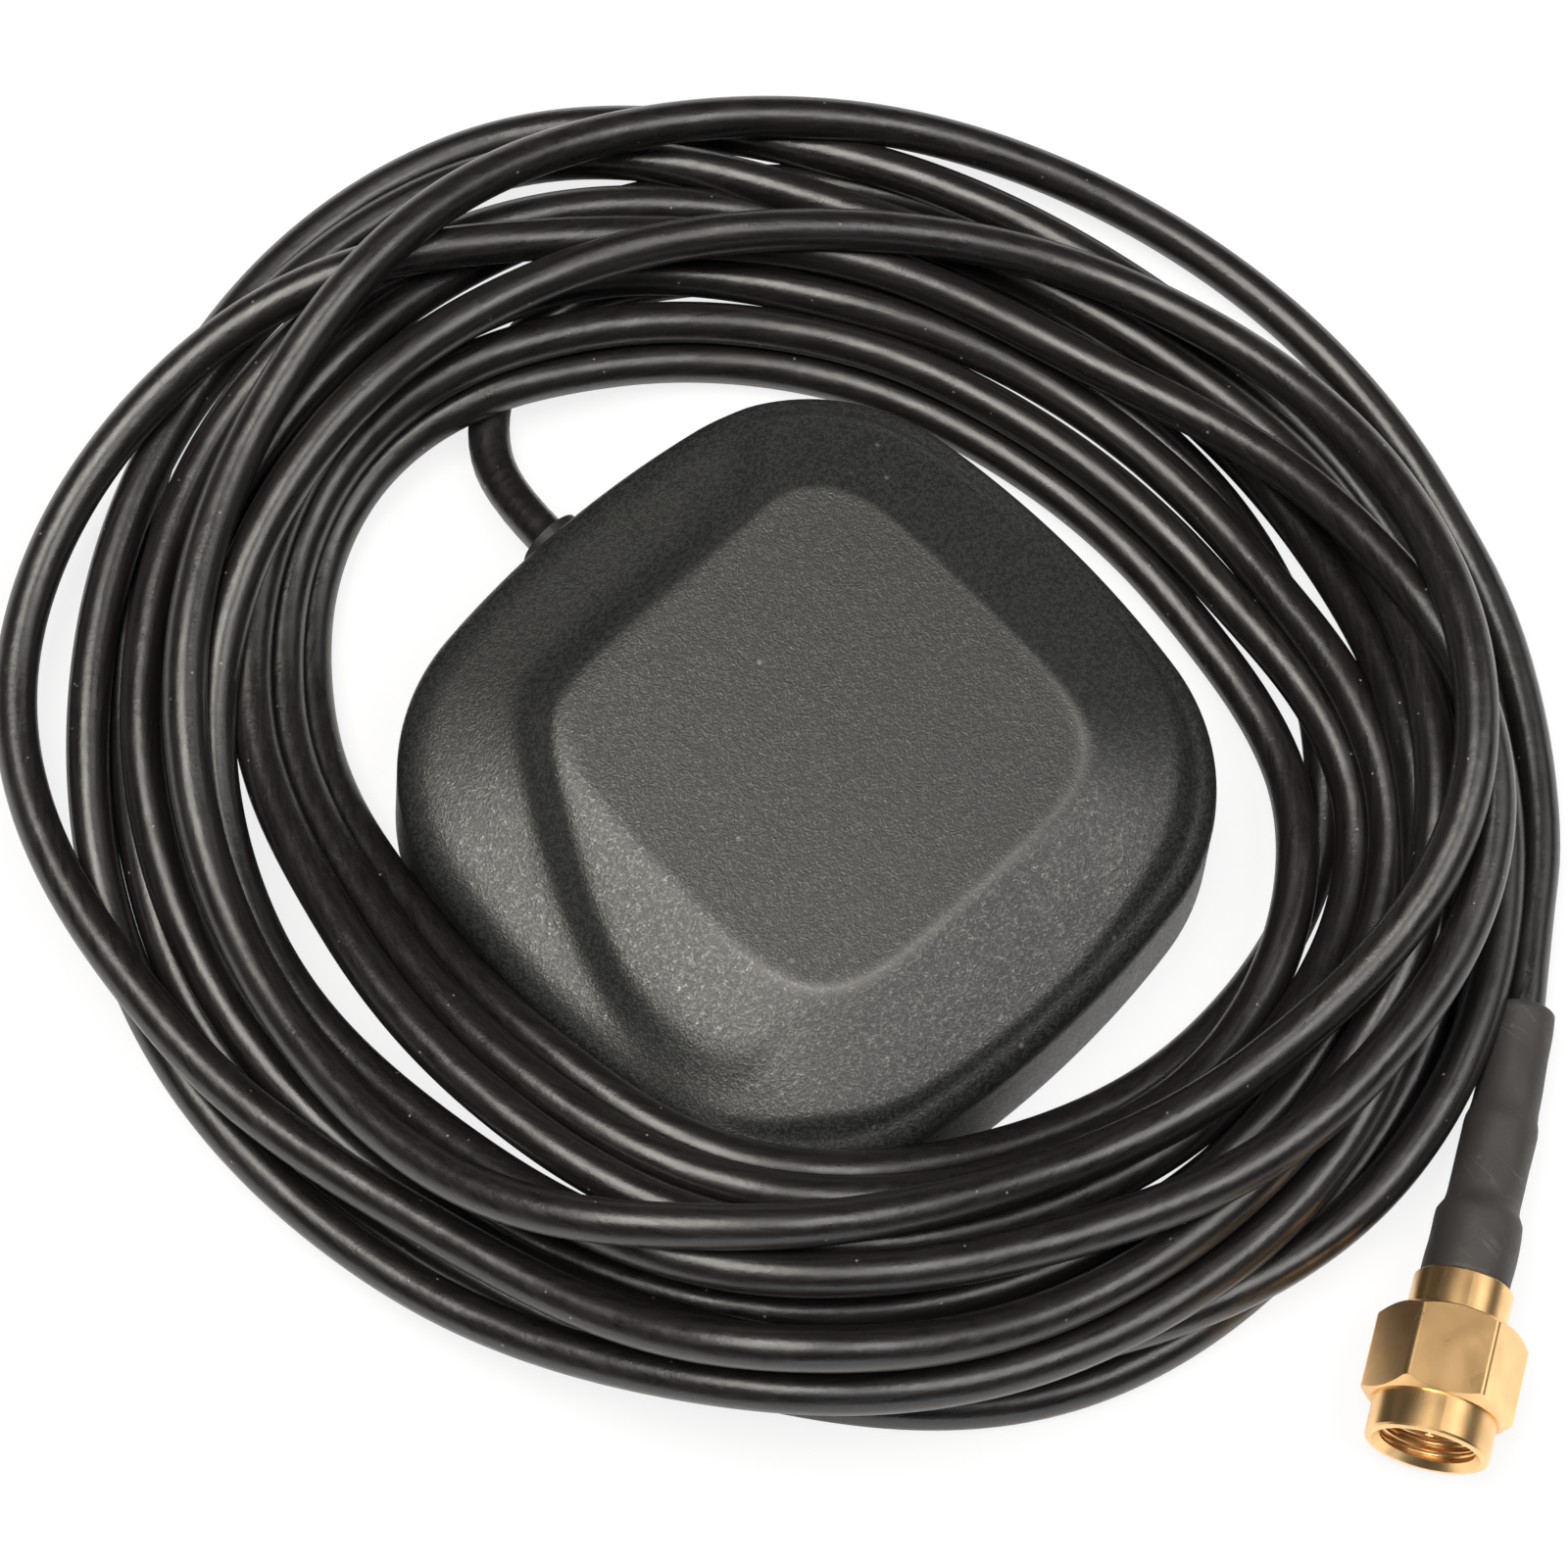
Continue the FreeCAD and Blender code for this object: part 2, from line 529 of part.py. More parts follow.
def heat_shrink():
    """The shrunk sleeve over body, ferrule and jacket, bent a little where it holds only the jacket."""
    straight = turned([(BARREL_R, FLANGE_REAR), (SLEEVE_WIDE_R, FLANGE_REAR), (SLEEVE_WIDE_R, SLEEVE_STEP),
                       (SLEEVE_WIDE_R - 0.15, SLEEVE_STEP + 0.5), (SLEEVE_SLIM_R, SLEEVE_STEP + 0.9),
                       (SLEEVE_SLIM_R, FERRULE_REAR - 0.1), (SLEEVE_SLIM_R - 0.13, FERRULE_REAR + 0.3),
                       (SLEEVE_END_R, SLEEVE_STRAIGHT), (CORD_R, SLEEVE_STRAIGHT), (CORD_R, FERRULE_REAR),
                       (FERRULE_R, FERRULE_REAR), (FERRULE_R, BARREL_FRONT), (BARREL_R, BARREL_FRONT)])
    return straight.fuse(bent_end(SLEEVE_END_R).cut(bent_end(CORD_R)))


def bent_end(radius):
    """A rod that carries on from the straight part of the sleeve round its bend."""
    disc = Part.Face(Part.Wire(Part.makeCircle(radius, V(0, 0, SLEEVE_STRAIGHT), V(0, 0, 1))))
    return disc.revolve(V(0, -SLEEVE_BEND_R, SLEEVE_STRAIGHT), V(1, 0, 0), SLEEVE_BEND)


def sleeve_mouth():
    """Where the sleeve ends and the lead comes out, and which way the lead points there."""
    turn = math.radians(SLEEVE_BEND)
    end = V(0, SLEEVE_BEND_R * (math.cos(turn) - 1), SLEEVE_STRAIGHT + SLEEVE_BEND_R * math.sin(turn))
    mark = lay_plug(Part.makePolygon([end, end + V(0, -math.sin(turn), math.cos(turn))]))
    return mark.Vertexes[0].Point, mark.Vertexes[1].Point - mark.Vertexes[0].Point


# Lead

def tube(points, name):
    """Straight runs joined by the largest tangent arcs, swept with the lead's section."""
    edges = []
    start = points[0]
    radii = []
    for before, corner, after in zip(points, points[1:], points[2:]):
        back, ahead = (before - corner), (after - corner)
        reach = 0.45 * min(back.Length, ahead.Length)
        half_turn = (math.pi - back.getAngle(ahead)) / 2
        radii.append(round(reach / math.tan(half_turn), 1))
        back.normalize()
        ahead.normalize()
        entry, leave = corner + back * reach, corner + ahead * reach
        radius = reach / math.tan(half_turn)
        inward = (back + ahead).normalize()
        middle = corner + inward * (radius / math.cos(half_turn) - radius)
        edges.append(Part.LineSegment(start, entry).toShape())
        edges.append(Part.Arc(entry, middle, leave).toShape())
        start = leave
    edges.append(Part.LineSegment(start, points[-1]).toShape())
    path = Part.Wire(edges)
    section = Part.Wire(Part.makeCircle(CORD_R, points[0], points[1] - points[0]))
    solid = path.makePipeShell([section], True, False)
    ratio = solid.Volume / (math.pi * CORD_R ** 2 * path.Length)
    print(name, "arc radii", radii, "length", round(path.Length, 1), "volume ratio", round(ratio, 4))
    return solid


def coil():
    """The space that the loose turns fill, as one ring."""
    outside = smooth_outline([clock_point(hour, beyond) for hour, beyond in enumerate(COIL_OUTSIDE)])
    inside = smooth_outline([clock_point(hour, beyond) for hour, beyond in enumerate(COIL_INSIDE)])
    rise = V(0, 0, COIL_HEIGHT)
    return Part.Face(outside).extrude(rise).cut(Part.Face(inside).extrude(rise))


save(top_cover(), "top_cover")
save(slab(TRAY_HALF - PAD_MARGIN, 0, PAD_TOP), "base_pad")
save(base_plate(), "base_plate")
save(base_screws(), "base_screws")
save(magnets(), "base_magnets")
save(gasket(), "sealing_gasket")
save(circuit_board(), "circuit_board")
for layer, title in zip(patch_layers(), ("patch_tape", "ceramic_patch", "patch_electrode")):
    save(layer, title)
save(feed_pin(), "feed_pin")
save(feed_solder(), "feed_solder")
save(shield_can(), "shield_can")
save(chips([(-0.25, 0.11), (0.21, 0.14)], AMPLIFIER_SIZE), "amplifier_chips")
save(chips([(0.0, 0.33)], FILTER_SIZE), "signal_filter")
save(chips([(-0.44, 0.29), (-0.44, -0.07), (0.44, 0.29), (0.44, -0.07), (0.25, -0.34)], CAPACITOR_SIZE),
     "chip_capacitors")
save(chips([(-0.43, -0.33), (0.04, 0.04), (-0.24, -0.34)], INDUCTOR_SIZE), "chip_inductors")
save(cable_grommet(), "cable_grommet")
for layer, title in zip(lead_end(), ("lead_jacket_end", "lead_braid_end", "lead_insulation", "lead_wire")):
    save(layer, title)
save(lead_solder(), "lead_solder")
save(braid_clip(), "braid_clip")

save(lay_plug(coupling_nut()), "coupling_nut")
save(lay_plug(connector_body()), "connector_body")
save(lay_plug(retaining_ring()), "retaining_ring")
save(lay_plug(band(SHELL_R + 2 * SLIP, SEAT_R + SLIP, SEAT_FRONT - 0.4, SEAT_FRONT - SLIP)), "interface_gasket")
save(lay_plug(band(PIN_R + SLIP, SHELL_BORE_R - SLIP, SHELL_FRONT + SLIP, SHELL_END - SLIP)), "connector_insulator")
save(lay_plug(centre_pin()), "centre_pin")
save(lay_plug(band(FERRULE_BORE_R, FERRULE_R, BARREL_FRONT + FIT_GAP, FERRULE_REAR)), "crimp_ferrule")
save(lay_plug(band(STUB_R + SLIP, BRAID_SPREAD_R, BARREL_FRONT + FIT_GAP, FERRULE_REAR - 0.5)), "plug_braid_end")
save(lay_plug(band(CORE_R, DIELECTRIC_R, PIN_BACK + SLIP, STRIPPED)), "plug_insulation")
save(lay_plug(band(0, CORE_R, SHELL_END + 0.8 + SLIP, STRIPPED)), "plug_wire")
save(lay_plug(band(0, CORD_R, STRIPPED, SLEEVE_STRAIGHT).fuse(bent_end(CORD_R))), "plug_jacket_end")
save(lay_plug(heat_shrink()), "heat_shrink_sleeve")

ring = coil()
save(ring, "cord_coil")
save(tube(LEAD_ROUTE, "cord_lead").cut(ring), "cord_lead")
exit_point, exit_way = sleeve_mouth()
print("sleeve mouth", exit_point, exit_way)
save(tube([exit_point] + TAIL_ROUTE, "cord_tail").cut(ring), "cord_tail")
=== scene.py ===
"""Dresses an active patch antenna: a moulded puck, its loosely coiled coax lead and a gold coax plug."""
import json
import math

import bmesh
import bpy
import numpy as np
from bpy.props import FloatProperty, FloatVectorProperty, PointerProperty
from mathutils import Matrix, Vector


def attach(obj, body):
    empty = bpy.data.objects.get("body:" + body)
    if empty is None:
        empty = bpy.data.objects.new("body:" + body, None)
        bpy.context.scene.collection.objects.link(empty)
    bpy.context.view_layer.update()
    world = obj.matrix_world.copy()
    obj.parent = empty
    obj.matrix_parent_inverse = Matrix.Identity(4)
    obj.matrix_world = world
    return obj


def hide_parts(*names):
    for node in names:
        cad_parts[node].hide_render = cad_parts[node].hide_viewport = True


bl_info = {
    "name": "Patch Antenna",
    "version": (1, 0, 0),
    "blender": (4, 5, 0),
    "location": "3D View > Sidebar > Antenna",
    "description": "Makes the puck, the coiled lead and the coax plug of an active patch antenna",
    "category": "Object",
}

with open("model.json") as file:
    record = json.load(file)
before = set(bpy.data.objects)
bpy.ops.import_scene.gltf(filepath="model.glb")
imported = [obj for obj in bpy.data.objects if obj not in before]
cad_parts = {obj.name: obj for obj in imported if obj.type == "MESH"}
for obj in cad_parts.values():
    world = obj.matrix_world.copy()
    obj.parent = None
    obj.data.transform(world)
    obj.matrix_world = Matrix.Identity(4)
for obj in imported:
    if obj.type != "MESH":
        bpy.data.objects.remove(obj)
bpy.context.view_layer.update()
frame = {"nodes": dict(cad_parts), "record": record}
MM = 0.001
MERGE_DISTANCE = 1e-7

# The puck's outline and heights, in millimetres
PUCK_HALF = 22.2
SIDE_BULGE = 64.0
CORNER = 13.4
WALL_FOOT = 0.5
WALL_TOP = 7.8
WALL_DRAFT = 0.4
PUCK_HEIGHT = 13.4
TRAY_HALF = 20.5
TRAY_TOP = 3.4
FOOT_CHAMFER = 0.25
# The ceiling inside the cover: shares of the outline and heights
CEILING_RINGS = ((0.86, 8.4), (0.76, 10.1))

# The cover's shoulder, ledge and rim: heights and widths in millimetres, and tilts as rise over run
SHOULDER_RISE = 1.9
SHOULDER_WIDTH = 2.6
LEDGE_TILT = 0.24
RIM_RISE = 2.9
RIM_WIDTH = 3.0
RIM_START = 1.5
RIM_TILT = 0.9
ROUND_POWER = 2.6

# The raised middle: its centre and half size in millimetres, how square it is, and its slopes and steps
PANEL_MIDDLE = (0.85, 0.2)
PANEL_HALF = (12.85, 13.3)
PANEL_POWER = 4.4
PANEL_SLOPE = 0.43
LEFT_EASE = 0.17
SLOPE_RUN = 13.0
FAR_STEP = 15.5
LEFT_STEP = 18.3
STEP_STEEP = 0.85
# How softly its edges run together, in millimetres
TOP_SOFT = 0.16
CORNER_SOFT = 2.0
EDGE_SOFT = 0.4
FOOT_SOFT = 0.5
RIM_SOFT = 0.15

# The cover's mesh: points round it, rows up its wall and over its top, the closer rows at the top's edge,
# and the shares of the way inwards that these and the others take
COVER_SIDES = 240
WALL_ROWS = 9
TOP_ROWS = 110
EDGE_ROWS = 22
EDGE_SHARE = 0.04
TOP_SHARE = 0.955

# The lead's lay-out, in millimetres
COIL_CENTRE = (0.9, 2.6)
CLOCK_TURN = -49.0
LEAD_ROUTE = [(0.3, 23.7, 3.4), (0.6, 28.2, 2.3), (2.5, 32.3, 1.45), (6.6, 35.6, 1.4)]
TAIL_ROUTE = [(28.5, -35.7, 1.6), (32.5, -32.8, 1.5), (37.7, -26.9, 1.4), (42.0, -20.0, 1.4)]
# How far each turn lies from the coil's middle, every 30 degrees, from the puck's end to the plug's
TURN_RADII = [
    [35.5, 34.5, 33.5, 34.1, 34.4, 31.6, 27.9, 25.6, 23.6, 25.2, 30.0, 33.2],
    [30.0, 27.2, 26.0, 27.8, 32.4, 32.7, 29.2, 26.8, 25.4, 26.9, 31.6, 34.6],
    [32.3, 29.5, 28.2, 30.2, 35.8, 34.4, 31.5, 29.4, 27.4, 28.7, 33.2, 36.0],
    [35.6, 31.7, 30.9, 32.5, 37.0, 36.2, 34.5, 33.4, 34.0, 36.2, 38.4, 38.6],
    [39.8, 40.6, 39.2, 40.4, 42.6, 43.1, 42.9, 39.0, 37.6, 39.4, 41.2, 46.2],
    [47.5, 42.4, 40.2, 41.8, 45.4, 45.6, 41.0, 37.0, 36.5, 38.5, 40.8, 42.5],
    [41.0, 37.5, 36.0, 36.6, 38.5, 40.3, 39.0, 37.5, 39.2, 41.6, 43.0, 44.8],
    [45.0, 38.4, 37.0, 39.1, 39.5, 38.4, 37.2, 35.9, 36.0, 41.3, 48.0, 45.5],
    [38.2, 34.5, 33.3, 38.0, 42.5, 38.2, 32.5, 30.6, 30.5, 33.2, 35.0, 35.5],
    [35.6, 36.2, 39.2, 42.2, 41.2, 34.2, 29.6, 29.2, 32.7, 34.8, 37.2, 40.2],
    [44.2, 45.2, 45.5, 46.3],
]
FIRST_CLOCK = 120.0
STATIONS = 72
# How much room a turn leaves round the lead's start where it passes over
LEAD_BERTH = 0.8
# From this turn on the strands lie on top and keep their places
TOP_TURN = 8
TIGHT_STRAY = 0.6
# How the turns settle: rounds, how hard strands push apart, and how far they sink in a round
SETTLE_ROUNDS = 300
PUSH_SHARE = 0.3
SINK = 0.15
# The first stations belong to the lead's start, which they don't pass over
START_STATIONS = 8

# The plug's line: the mouth of its nut, in metres, and the way it points
MOUTH = Vector((-0.0013688, -0.0541347, 0.00473))
PLUG_HEADING = math.radians(29.9)
PLUG_TILT = math.radians(5.4)
# Balls along the plug, a millimetre apart, that the turns pass over: how many and how large, in millimetres
PLUG_BALLS = 26
NUT_BALLS = 8
NUT_REACH = 4.3
SLEEVE_REACH = 2.5

# The sleeve, in millimetres: its straight part, its bend, and its profile from the mouth of the nut
SLEEVE_STRAIGHT = 22.0
SLEEVE_BEND = 79.0
SLEEVE_LENGTH = SLEEVE_STRAIGHT + SLEEVE_BEND * math.radians(5.0)
SLEEVE_OUTSIDE = [
    (10.55, 2.58), (10.62, 2.68), (12.0, 2.72), (14.3, 2.7), (14.9, 2.66), (15.25, 2.5), (15.6, 2.32),
    (16.1, 2.26), (18.5, 2.24), (20.9, 2.25), (21.3, 2.21), (21.8, 2.08), (22.4, 2.03), (25.0, 2.0),
    (28.0, 2.0), (SLEEVE_LENGTH - 0.12, 2.0), (SLEEVE_LENGTH, 1.9)]
SLEEVE_INSIDE = [(SLEEVE_LENGTH, 1.36), (22.0, 1.36), (21.5, 1.8), (15.3, 1.8), (15.2, 2.25), (10.55, 2.25)]
SLEEVE_STEP = 0.35
SLEEVE_SIDES = 72
# Lobes round the sleeve, their height and how they drift along it
SLEEVE_WAVES = ((2, 0.022, 0.5), (3, 0.016, -0.9), (5, 0.012, 1.7))

# The nut's thread, in metres
THREAD_RADIUS = 0.00312
THREAD_RIDGE = 0.00027
THREAD_START = 0.0005

# Colours of flecks, of wear on the gold and of the painted highlight on the cover's raised edge, and values
# of metal
FLECK_COLOUR = (0.126, 0.129, 0.121)
# Painted highlight: the pale colour painted along the edge of the cover's raised middle
EDGE_HIGHLIGHT_COLOUR = (0.15, 0.145, 0.137)
RUBBED_GOLD = (0.98, 0.83, 0.52)
WHITE = (1.0, 1.0, 1.0, 1.0)
METAL = {"metallic": 1.0}
SMOOTH_METAL = {"metallic": 1.0, "depth": 0.00001}

# The stage, in metres, and the lamps' shares of the fill light
FLOOR_HALF = 3.0
FLOOR_GLOW = 0.82
RIGHT_SHARE = 0.16
LOW_SHARE = 0.15
CAMERA_LENS = 94.95
CAMERA_TARGET = Vector((0.00085, 0.00256, 0.0))


# Small helpers

def placed(name, data):
    """A new object in the scene."""
    thing = bpy.data.objects.new(name, data)
    bpy.context.scene.collection.objects.link(thing)
    return thing


def mesh_object(name, points, faces, smooth=True):
    """A new object from points in metres and faces, with its normals turned outwards."""
    mesh = bpy.data.meshes.new(name)
    mesh.from_pydata([tuple(p) for p in points], [], [tuple(f) for f in faces])
    made = bmesh.new()
    made.from_mesh(mesh)
    bmesh.ops.remove_doubles(made, verts=made.verts, dist=MERGE_DISTANCE)
    bmesh.ops.recalc_face_normals(made, faces=made.faces)
    for face in made.faces:
        face.smooth = smooth
    made.to_mesh(mesh)
    made.free()
    return placed(name, mesh)


def band_faces(rows, count, closed=False):
    """Faces between rings of points, and from the last ring back to the first if closed."""
    faces = []
    for row in range(rows if closed else rows - 1):
        a, b = row * count, (row + 1) % rows * count
        for step in range(count):
            after = (step + 1) % count
            faces.append((a + step, a + after, b + after, b + step))
    return faces


def node(tree, kind, inputs=None, **settings):
    """A new shader or geometry node with its settings, values and links."""
    made = tree.nodes.new(kind)
    for key, value in settings.items():
        setattr(made, key, value)
    for key, value in (inputs or {}).items():
        if isinstance(value, bpy.types.NodeSocket):
            tree.links.new(value, made.inputs[key])
        else:
            made.inputs[key].default_value = value
    return made


def maths(tree, operation, *values):
    """The result of a Math node."""
    return node(tree, "ShaderNodeMath", dict(enumerate(values)), operation=operation).outputs[0]


def times(tree, a, b):
    """The product of two values."""
    return maths(tree, "MULTIPLY", a, b)


def plus(tree, a, b):
    """The sum of two values."""
    return maths(tree, "ADD", a, b)


def noise(tree, place, scale, detail=2.0, roughness=0.5, distortion=0.0):
    """The value of a noise pattern."""
    inputs = {"Vector": place, "Scale": scale, "Detail": detail, "Roughness": roughness,
              "Distortion": distortion}
    return node(tree, "ShaderNodeTexNoise", inputs).outputs[0]


def mapped(tree, place, **values):
    """Coordinates that are moved, turned or scaled."""
    return node(tree, "ShaderNodeMapping", {"Vector": place, **values}).outputs[0]


def mixed(tree, factor, low, high):
    """A colour between two colours."""
    return node(tree, "ShaderNodeMix", {0: factor, 6: low, 7: high}, data_type="RGBA").outputs[2]


def ranged(tree, value, low, high, new_low=0.0, new_high=1.0):
    """A value brought from one range to another, held at its ends."""
    inputs = {"Value": value, "From Min": low, "From Max": high, "To Min": new_low, "To Max": new_high}
    return node(tree, "ShaderNodeMapRange", inputs).outputs["Result"]


def shade(colour, factor=1.0):
    """A colour made darker or lighter, with full alpha."""
    return (colour[0] * factor, colour[1] * factor, colour[2] * factor, 1.0)


def varied(tree, factor, colour, low, high):
    """A colour that drifts between a darker and a lighter tone of itself."""
    return mixed(tree, factor, shade(colour, low), shade(colour, high))


# Shader groups that several finishes share

def shared_group(name, build, outputs, **values):
    """A shader node group with a vector and some values as inputs, built the first time it is asked for."""
    if name in bpy.data.node_groups:
        return bpy.data.node_groups[name]
    group = bpy.data.node_groups.new(name, "ShaderNodeTree")
    group.interface.new_socket("Vector", in_out="INPUT", socket_type="NodeSocketVector")
    for title, value in values.items():
        socket = group.interface.new_socket(title, in_out="INPUT", socket_type="NodeSocketFloat")
        socket.default_value = value
    for title in outputs:
        group.interface.new_socket(title, in_out="OUTPUT", socket_type="NodeSocketFloat")
    entry, leave = group.nodes.new("NodeGroupInput").outputs, group.nodes.new("NodeGroupOutput").inputs
    for title, value in zip(outputs, build(group, entry)):
        group.links.new(value, leave[title])
    return group


def build_grain(group, entry):
    """Fine spark-eroded mould texture: pale flecks and a height."""
    place, scale = entry["Vector"], entry["Scale"]
    fine = noise(group, place, scale, 2.0, 0.6)
    coarse = noise(group, place, times(group, scale, 0.43), 1.0)
    both = plus(group, times(group, fine, 0.65), times(group, coarse, 0.35))
    return ranged(group, both, 0.42, 0.68), both


def grain_group():
    """The group of mould texture."""
    return shared_group("Mould grain", build_grain, ["Flecks", "Height"], Scale=5200.0)


def build_marks(group, entry):
    """Faint scratches, pale dust specks and slow unevenness from handling."""
    place, scale = entry["Vector"], entry["Scale"]
    drawn = mapped(group, place, Rotation=(0.5, 0.3, 0.9), Scale=(1.6, 0.16, 1.0))
    swirl = noise(group, drawn, scale, distortion=0.2)
    line = maths(group, "ABSOLUTE", maths(group, "SUBTRACT", swirl, 0.5))
    patch = noise(group, place, times(group, scale, 0.7))
    scratches = times(group, ranged(group, line, 0.0, 0.012, 1.0, 0.0), ranged(group, patch, 0.52, 0.66))
    cells = node(group, "ShaderNodeTexVoronoi", {"Vector": place, "Scale": entry["Specks"]}).outputs
    near = ranged(group, cells["Distance"], 0.0, 0.16, 1.0, 0.0)
    pick = node(group, "ShaderNodeSeparateColor", {"Color": cells["Color"]}).outputs[0]
    dust = times(group, near, ranged(group, pick, 0.93, 0.96))
    return scratches, dust, patch


def marks_group():
    """The group of handling marks."""
    outputs = ["Scratches", "Dust", "Unevenness"]
    return shared_group("Handling marks", build_marks, outputs, Scale=260.0, Specks=900.0)


def build_painted_edge_highlight(group, entry):
    """Painted highlight along the raised middle's edge: along the near side, and faintly at the right."""
    place = node(group, "ShaderNodeSeparateXYZ", {"Vector": entry["Vector"]}).outputs
    shares = []
    for axis, (middle, half) in enumerate(zip(PANEL_MIDDLE, PANEL_HALF)):
        share = maths(group, "MULTIPLY_ADD", place[axis], 1 / (half * MM), -middle / half)
        shares.append(maths(group, "POWER", maths(group, "ABSOLUTE", share), PANEL_POWER))
    square = maths(group, "POWER", plus(group, *shares), 1 / PANEL_POWER)
    away = maths(group, "ABSOLUTE", maths(group, "SUBTRACT", square, 1.0))
    # painted highlight mask: a thin ring along the raised middle's edge, strongest on the near side
    ring = ranged(group, away, 0.0, 0.055, 1.0, 0.0)
    near = ranged(group, place[1], -0.003, -0.011)
    right = times(group, ranged(group, place[0], 0.004, 0.01), 0.1)
    patches = ranged(group, noise(group, entry["Vector"], 420.0), 0.3, 0.6, 0.6, 1.0)
    ring = times(group, times(group, ring, ring), patches)
    return [times(group, ring, maths(group, "MAXIMUM", near, right))]


def painted_edge_highlight_group():
    """The group of the highlight painted along the raised middle's edge."""
    return shared_group("Painted edge highlight", build_painted_edge_highlight, ["Edge"])


# Finishes

def blank_finish(name):
    """A new material, its node tree, its shader and the object coordinates."""
    material = bpy.data.materials.new(name)
    material.use_nodes = True
    tree = material.node_tree
    place = tree.nodes.new("ShaderNodeTexCoord").outputs["Object"]
    return material, tree, tree.nodes["Principled BSDF"], place


def use_group(tree, group, place, **values):
    """The outputs of a shared group that is placed in a material with its own values."""
    made = tree.nodes.new("ShaderNodeGroup")
    made.node_tree = group
    tree.links.new(place, made.inputs["Vector"])
    for key, value in values.items():
        made.inputs[key].default_value = value
    return made.outputs


def dusted(tree, marks, amount, colour, dust):
    """A colour with pale specks of dust on it."""
    return mixed(tree, times(tree, marks["Dust"], amount), colour, shade(dust))


def feed(tree, shader, colour, rough, height, depth, strength):
    """Link a colour, a roughness and a height to the shader."""
    bump = node(tree, "ShaderNodeBump", {"Height": height, "Distance": depth, "Strength": strength})
    for title, value in (("Base Color", colour), ("Roughness", rough), ("Normal", bump.outputs["Normal"])):
        tree.links.new(value, shader.inputs[title])


def cover_finish(settings):
    """Satin moulded plastic with a fine mineral fleck, and a highlight painted pale along the raised middle's
    edge.
    """
    material, tree, shader, place = blank_finish("cover_plastic")
    grain = use_group(tree, grain_group(), place, Scale=settings.grain_scale)
    marks = use_group(tree, marks_group(), place, Scale=90.0, Specks=700.0)
    painted_highlight = use_group(tree, painted_edge_highlight_group(), place)
    fleck = times(tree, maths(tree, "POWER", grain["Flecks"], 1.9), 1.12)
    colour = mixed(tree, fleck, shade(settings.colour, 0.75), shade(FLECK_COLOUR))
    # painted highlight: the raised middle's edge is coloured pale where light catches it
    colour = mixed(tree, times(tree, painted_highlight["Edge"], 0.6), colour, shade(EDGE_HIGHLIGHT_COLOUR))
    colour = dusted(tree, marks, 0.6, colour, (0.35, 0.33, 0.3))
    tree.links.new(times(tree, fleck, 0.95), shader.inputs["Metallic"])
    rough = plus(tree, ranged(tree, marks["Unevenness"], 0.3, 0.7, -0.03, 0.03), settings.roughness)
    rough = plus(tree, rough, ranged(tree, grain["Flecks"], 0.0, 1.0, 0.07, -0.09))
    rough = maths(tree, "SUBTRACT", rough, times(tree, marks["Scratches"], 0.08))
    feed(tree, shader, colour, rough, grain["Height"], 0.0001, 0.5)
    shader.inputs["Specular IOR Level"].default_value = 0.7
    return material


def moulded_finish(name, colour, roughness, grain=2600.0, depth=0.00005, metallic=0.0):
    """Any moulded, pressed or cast surface: grain, slight colour drift, scratches and dust."""
    material, tree, shader, place = blank_finish(name)
    texture = use_group(tree, grain_group(), place, Scale=grain)
    marks = use_group(tree, marks_group(), place, Scale=240.0, Specks=1100.0)
    tint = varied(tree, texture["Flecks"], colour, 0.86, 1.12)
    tint = mixed(tree, ranged(tree, marks["Unevenness"], 0.35, 0.7, 0.0, 0.35), tint, shade(colour, 0.75))
    tint = dusted(tree, marks, 0.5, tint, (0.5, 0.48, 0.44))
    rough = ranged(tree, marks["Scratches"], 0.0, 1.0, roughness, roughness + 0.15)
    feed(tree, shader, tint, rough, texture["Height"], depth, 0.5)
    shader.inputs["Metallic"].default_value = metallic
    return material


def jacket_finish(settings):
    """Glossy soft vinyl jacket with small dents, drawing lines and dust."""
    material, tree, shader, place = blank_finish("cord_jacket")
    marks = use_group(tree, marks_group(), place, Scale=420.0, Specks=1500.0)
    centred = mapped(tree, place, Location=(-COIL_CENTRE[0] * MM, -COIL_CENTRE[1] * MM, 0.0))
    x, y, z = node(tree, "ShaderNodeSeparateXYZ", {"Vector": centred}).outputs
    reach = maths(tree, "SQRT", plus(tree, maths(tree, "POWER", x, 2.0), maths(tree, "POWER", y, 2.0)))
    turn = times(tree, maths(tree, "ARCTAN2", y, x), 0.0016)
    along = node(tree, "ShaderNodeCombineXYZ", {0: reach, 1: turn, 2: z}).outputs[0]
    streaks = noise(tree, along, 2600.0, 3.0, 0.65)
    dents = noise(tree, place, 210.0, 3.0)
    pores = noise(tree, place, 4200.0, 3.0, 0.6)
    colour = varied(tree, ranged(tree, streaks, 0.35, 0.72), settings.colour, 0.8, 1.35)
    colour = mixed(tree, ranged(tree, pores, 0.6, 0.72, 0.0, 0.6), colour, shade(settings.colour, 3.2))
    colour = dusted(tree, marks, 0.85, colour, (0.42, 0.4, 0.37))
    rough = ranged(tree, streaks, 0.3, 0.75, settings.roughness - 0.05, settings.roughness + 0.1)
    rough = plus(tree, rough, times(tree, marks["Scratches"], 0.12))
    height = dents
    for value, share in ((pores, 0.1), (streaks, 0.03), (marks["Dust"], 0.12)):
        height = plus(tree, height, times(tree, value, share))
    feed(tree, shader, colour, rough, height, 0.00045, 0.3)
    shader.inputs["Specular IOR Level"].default_value = 0.75
    return material


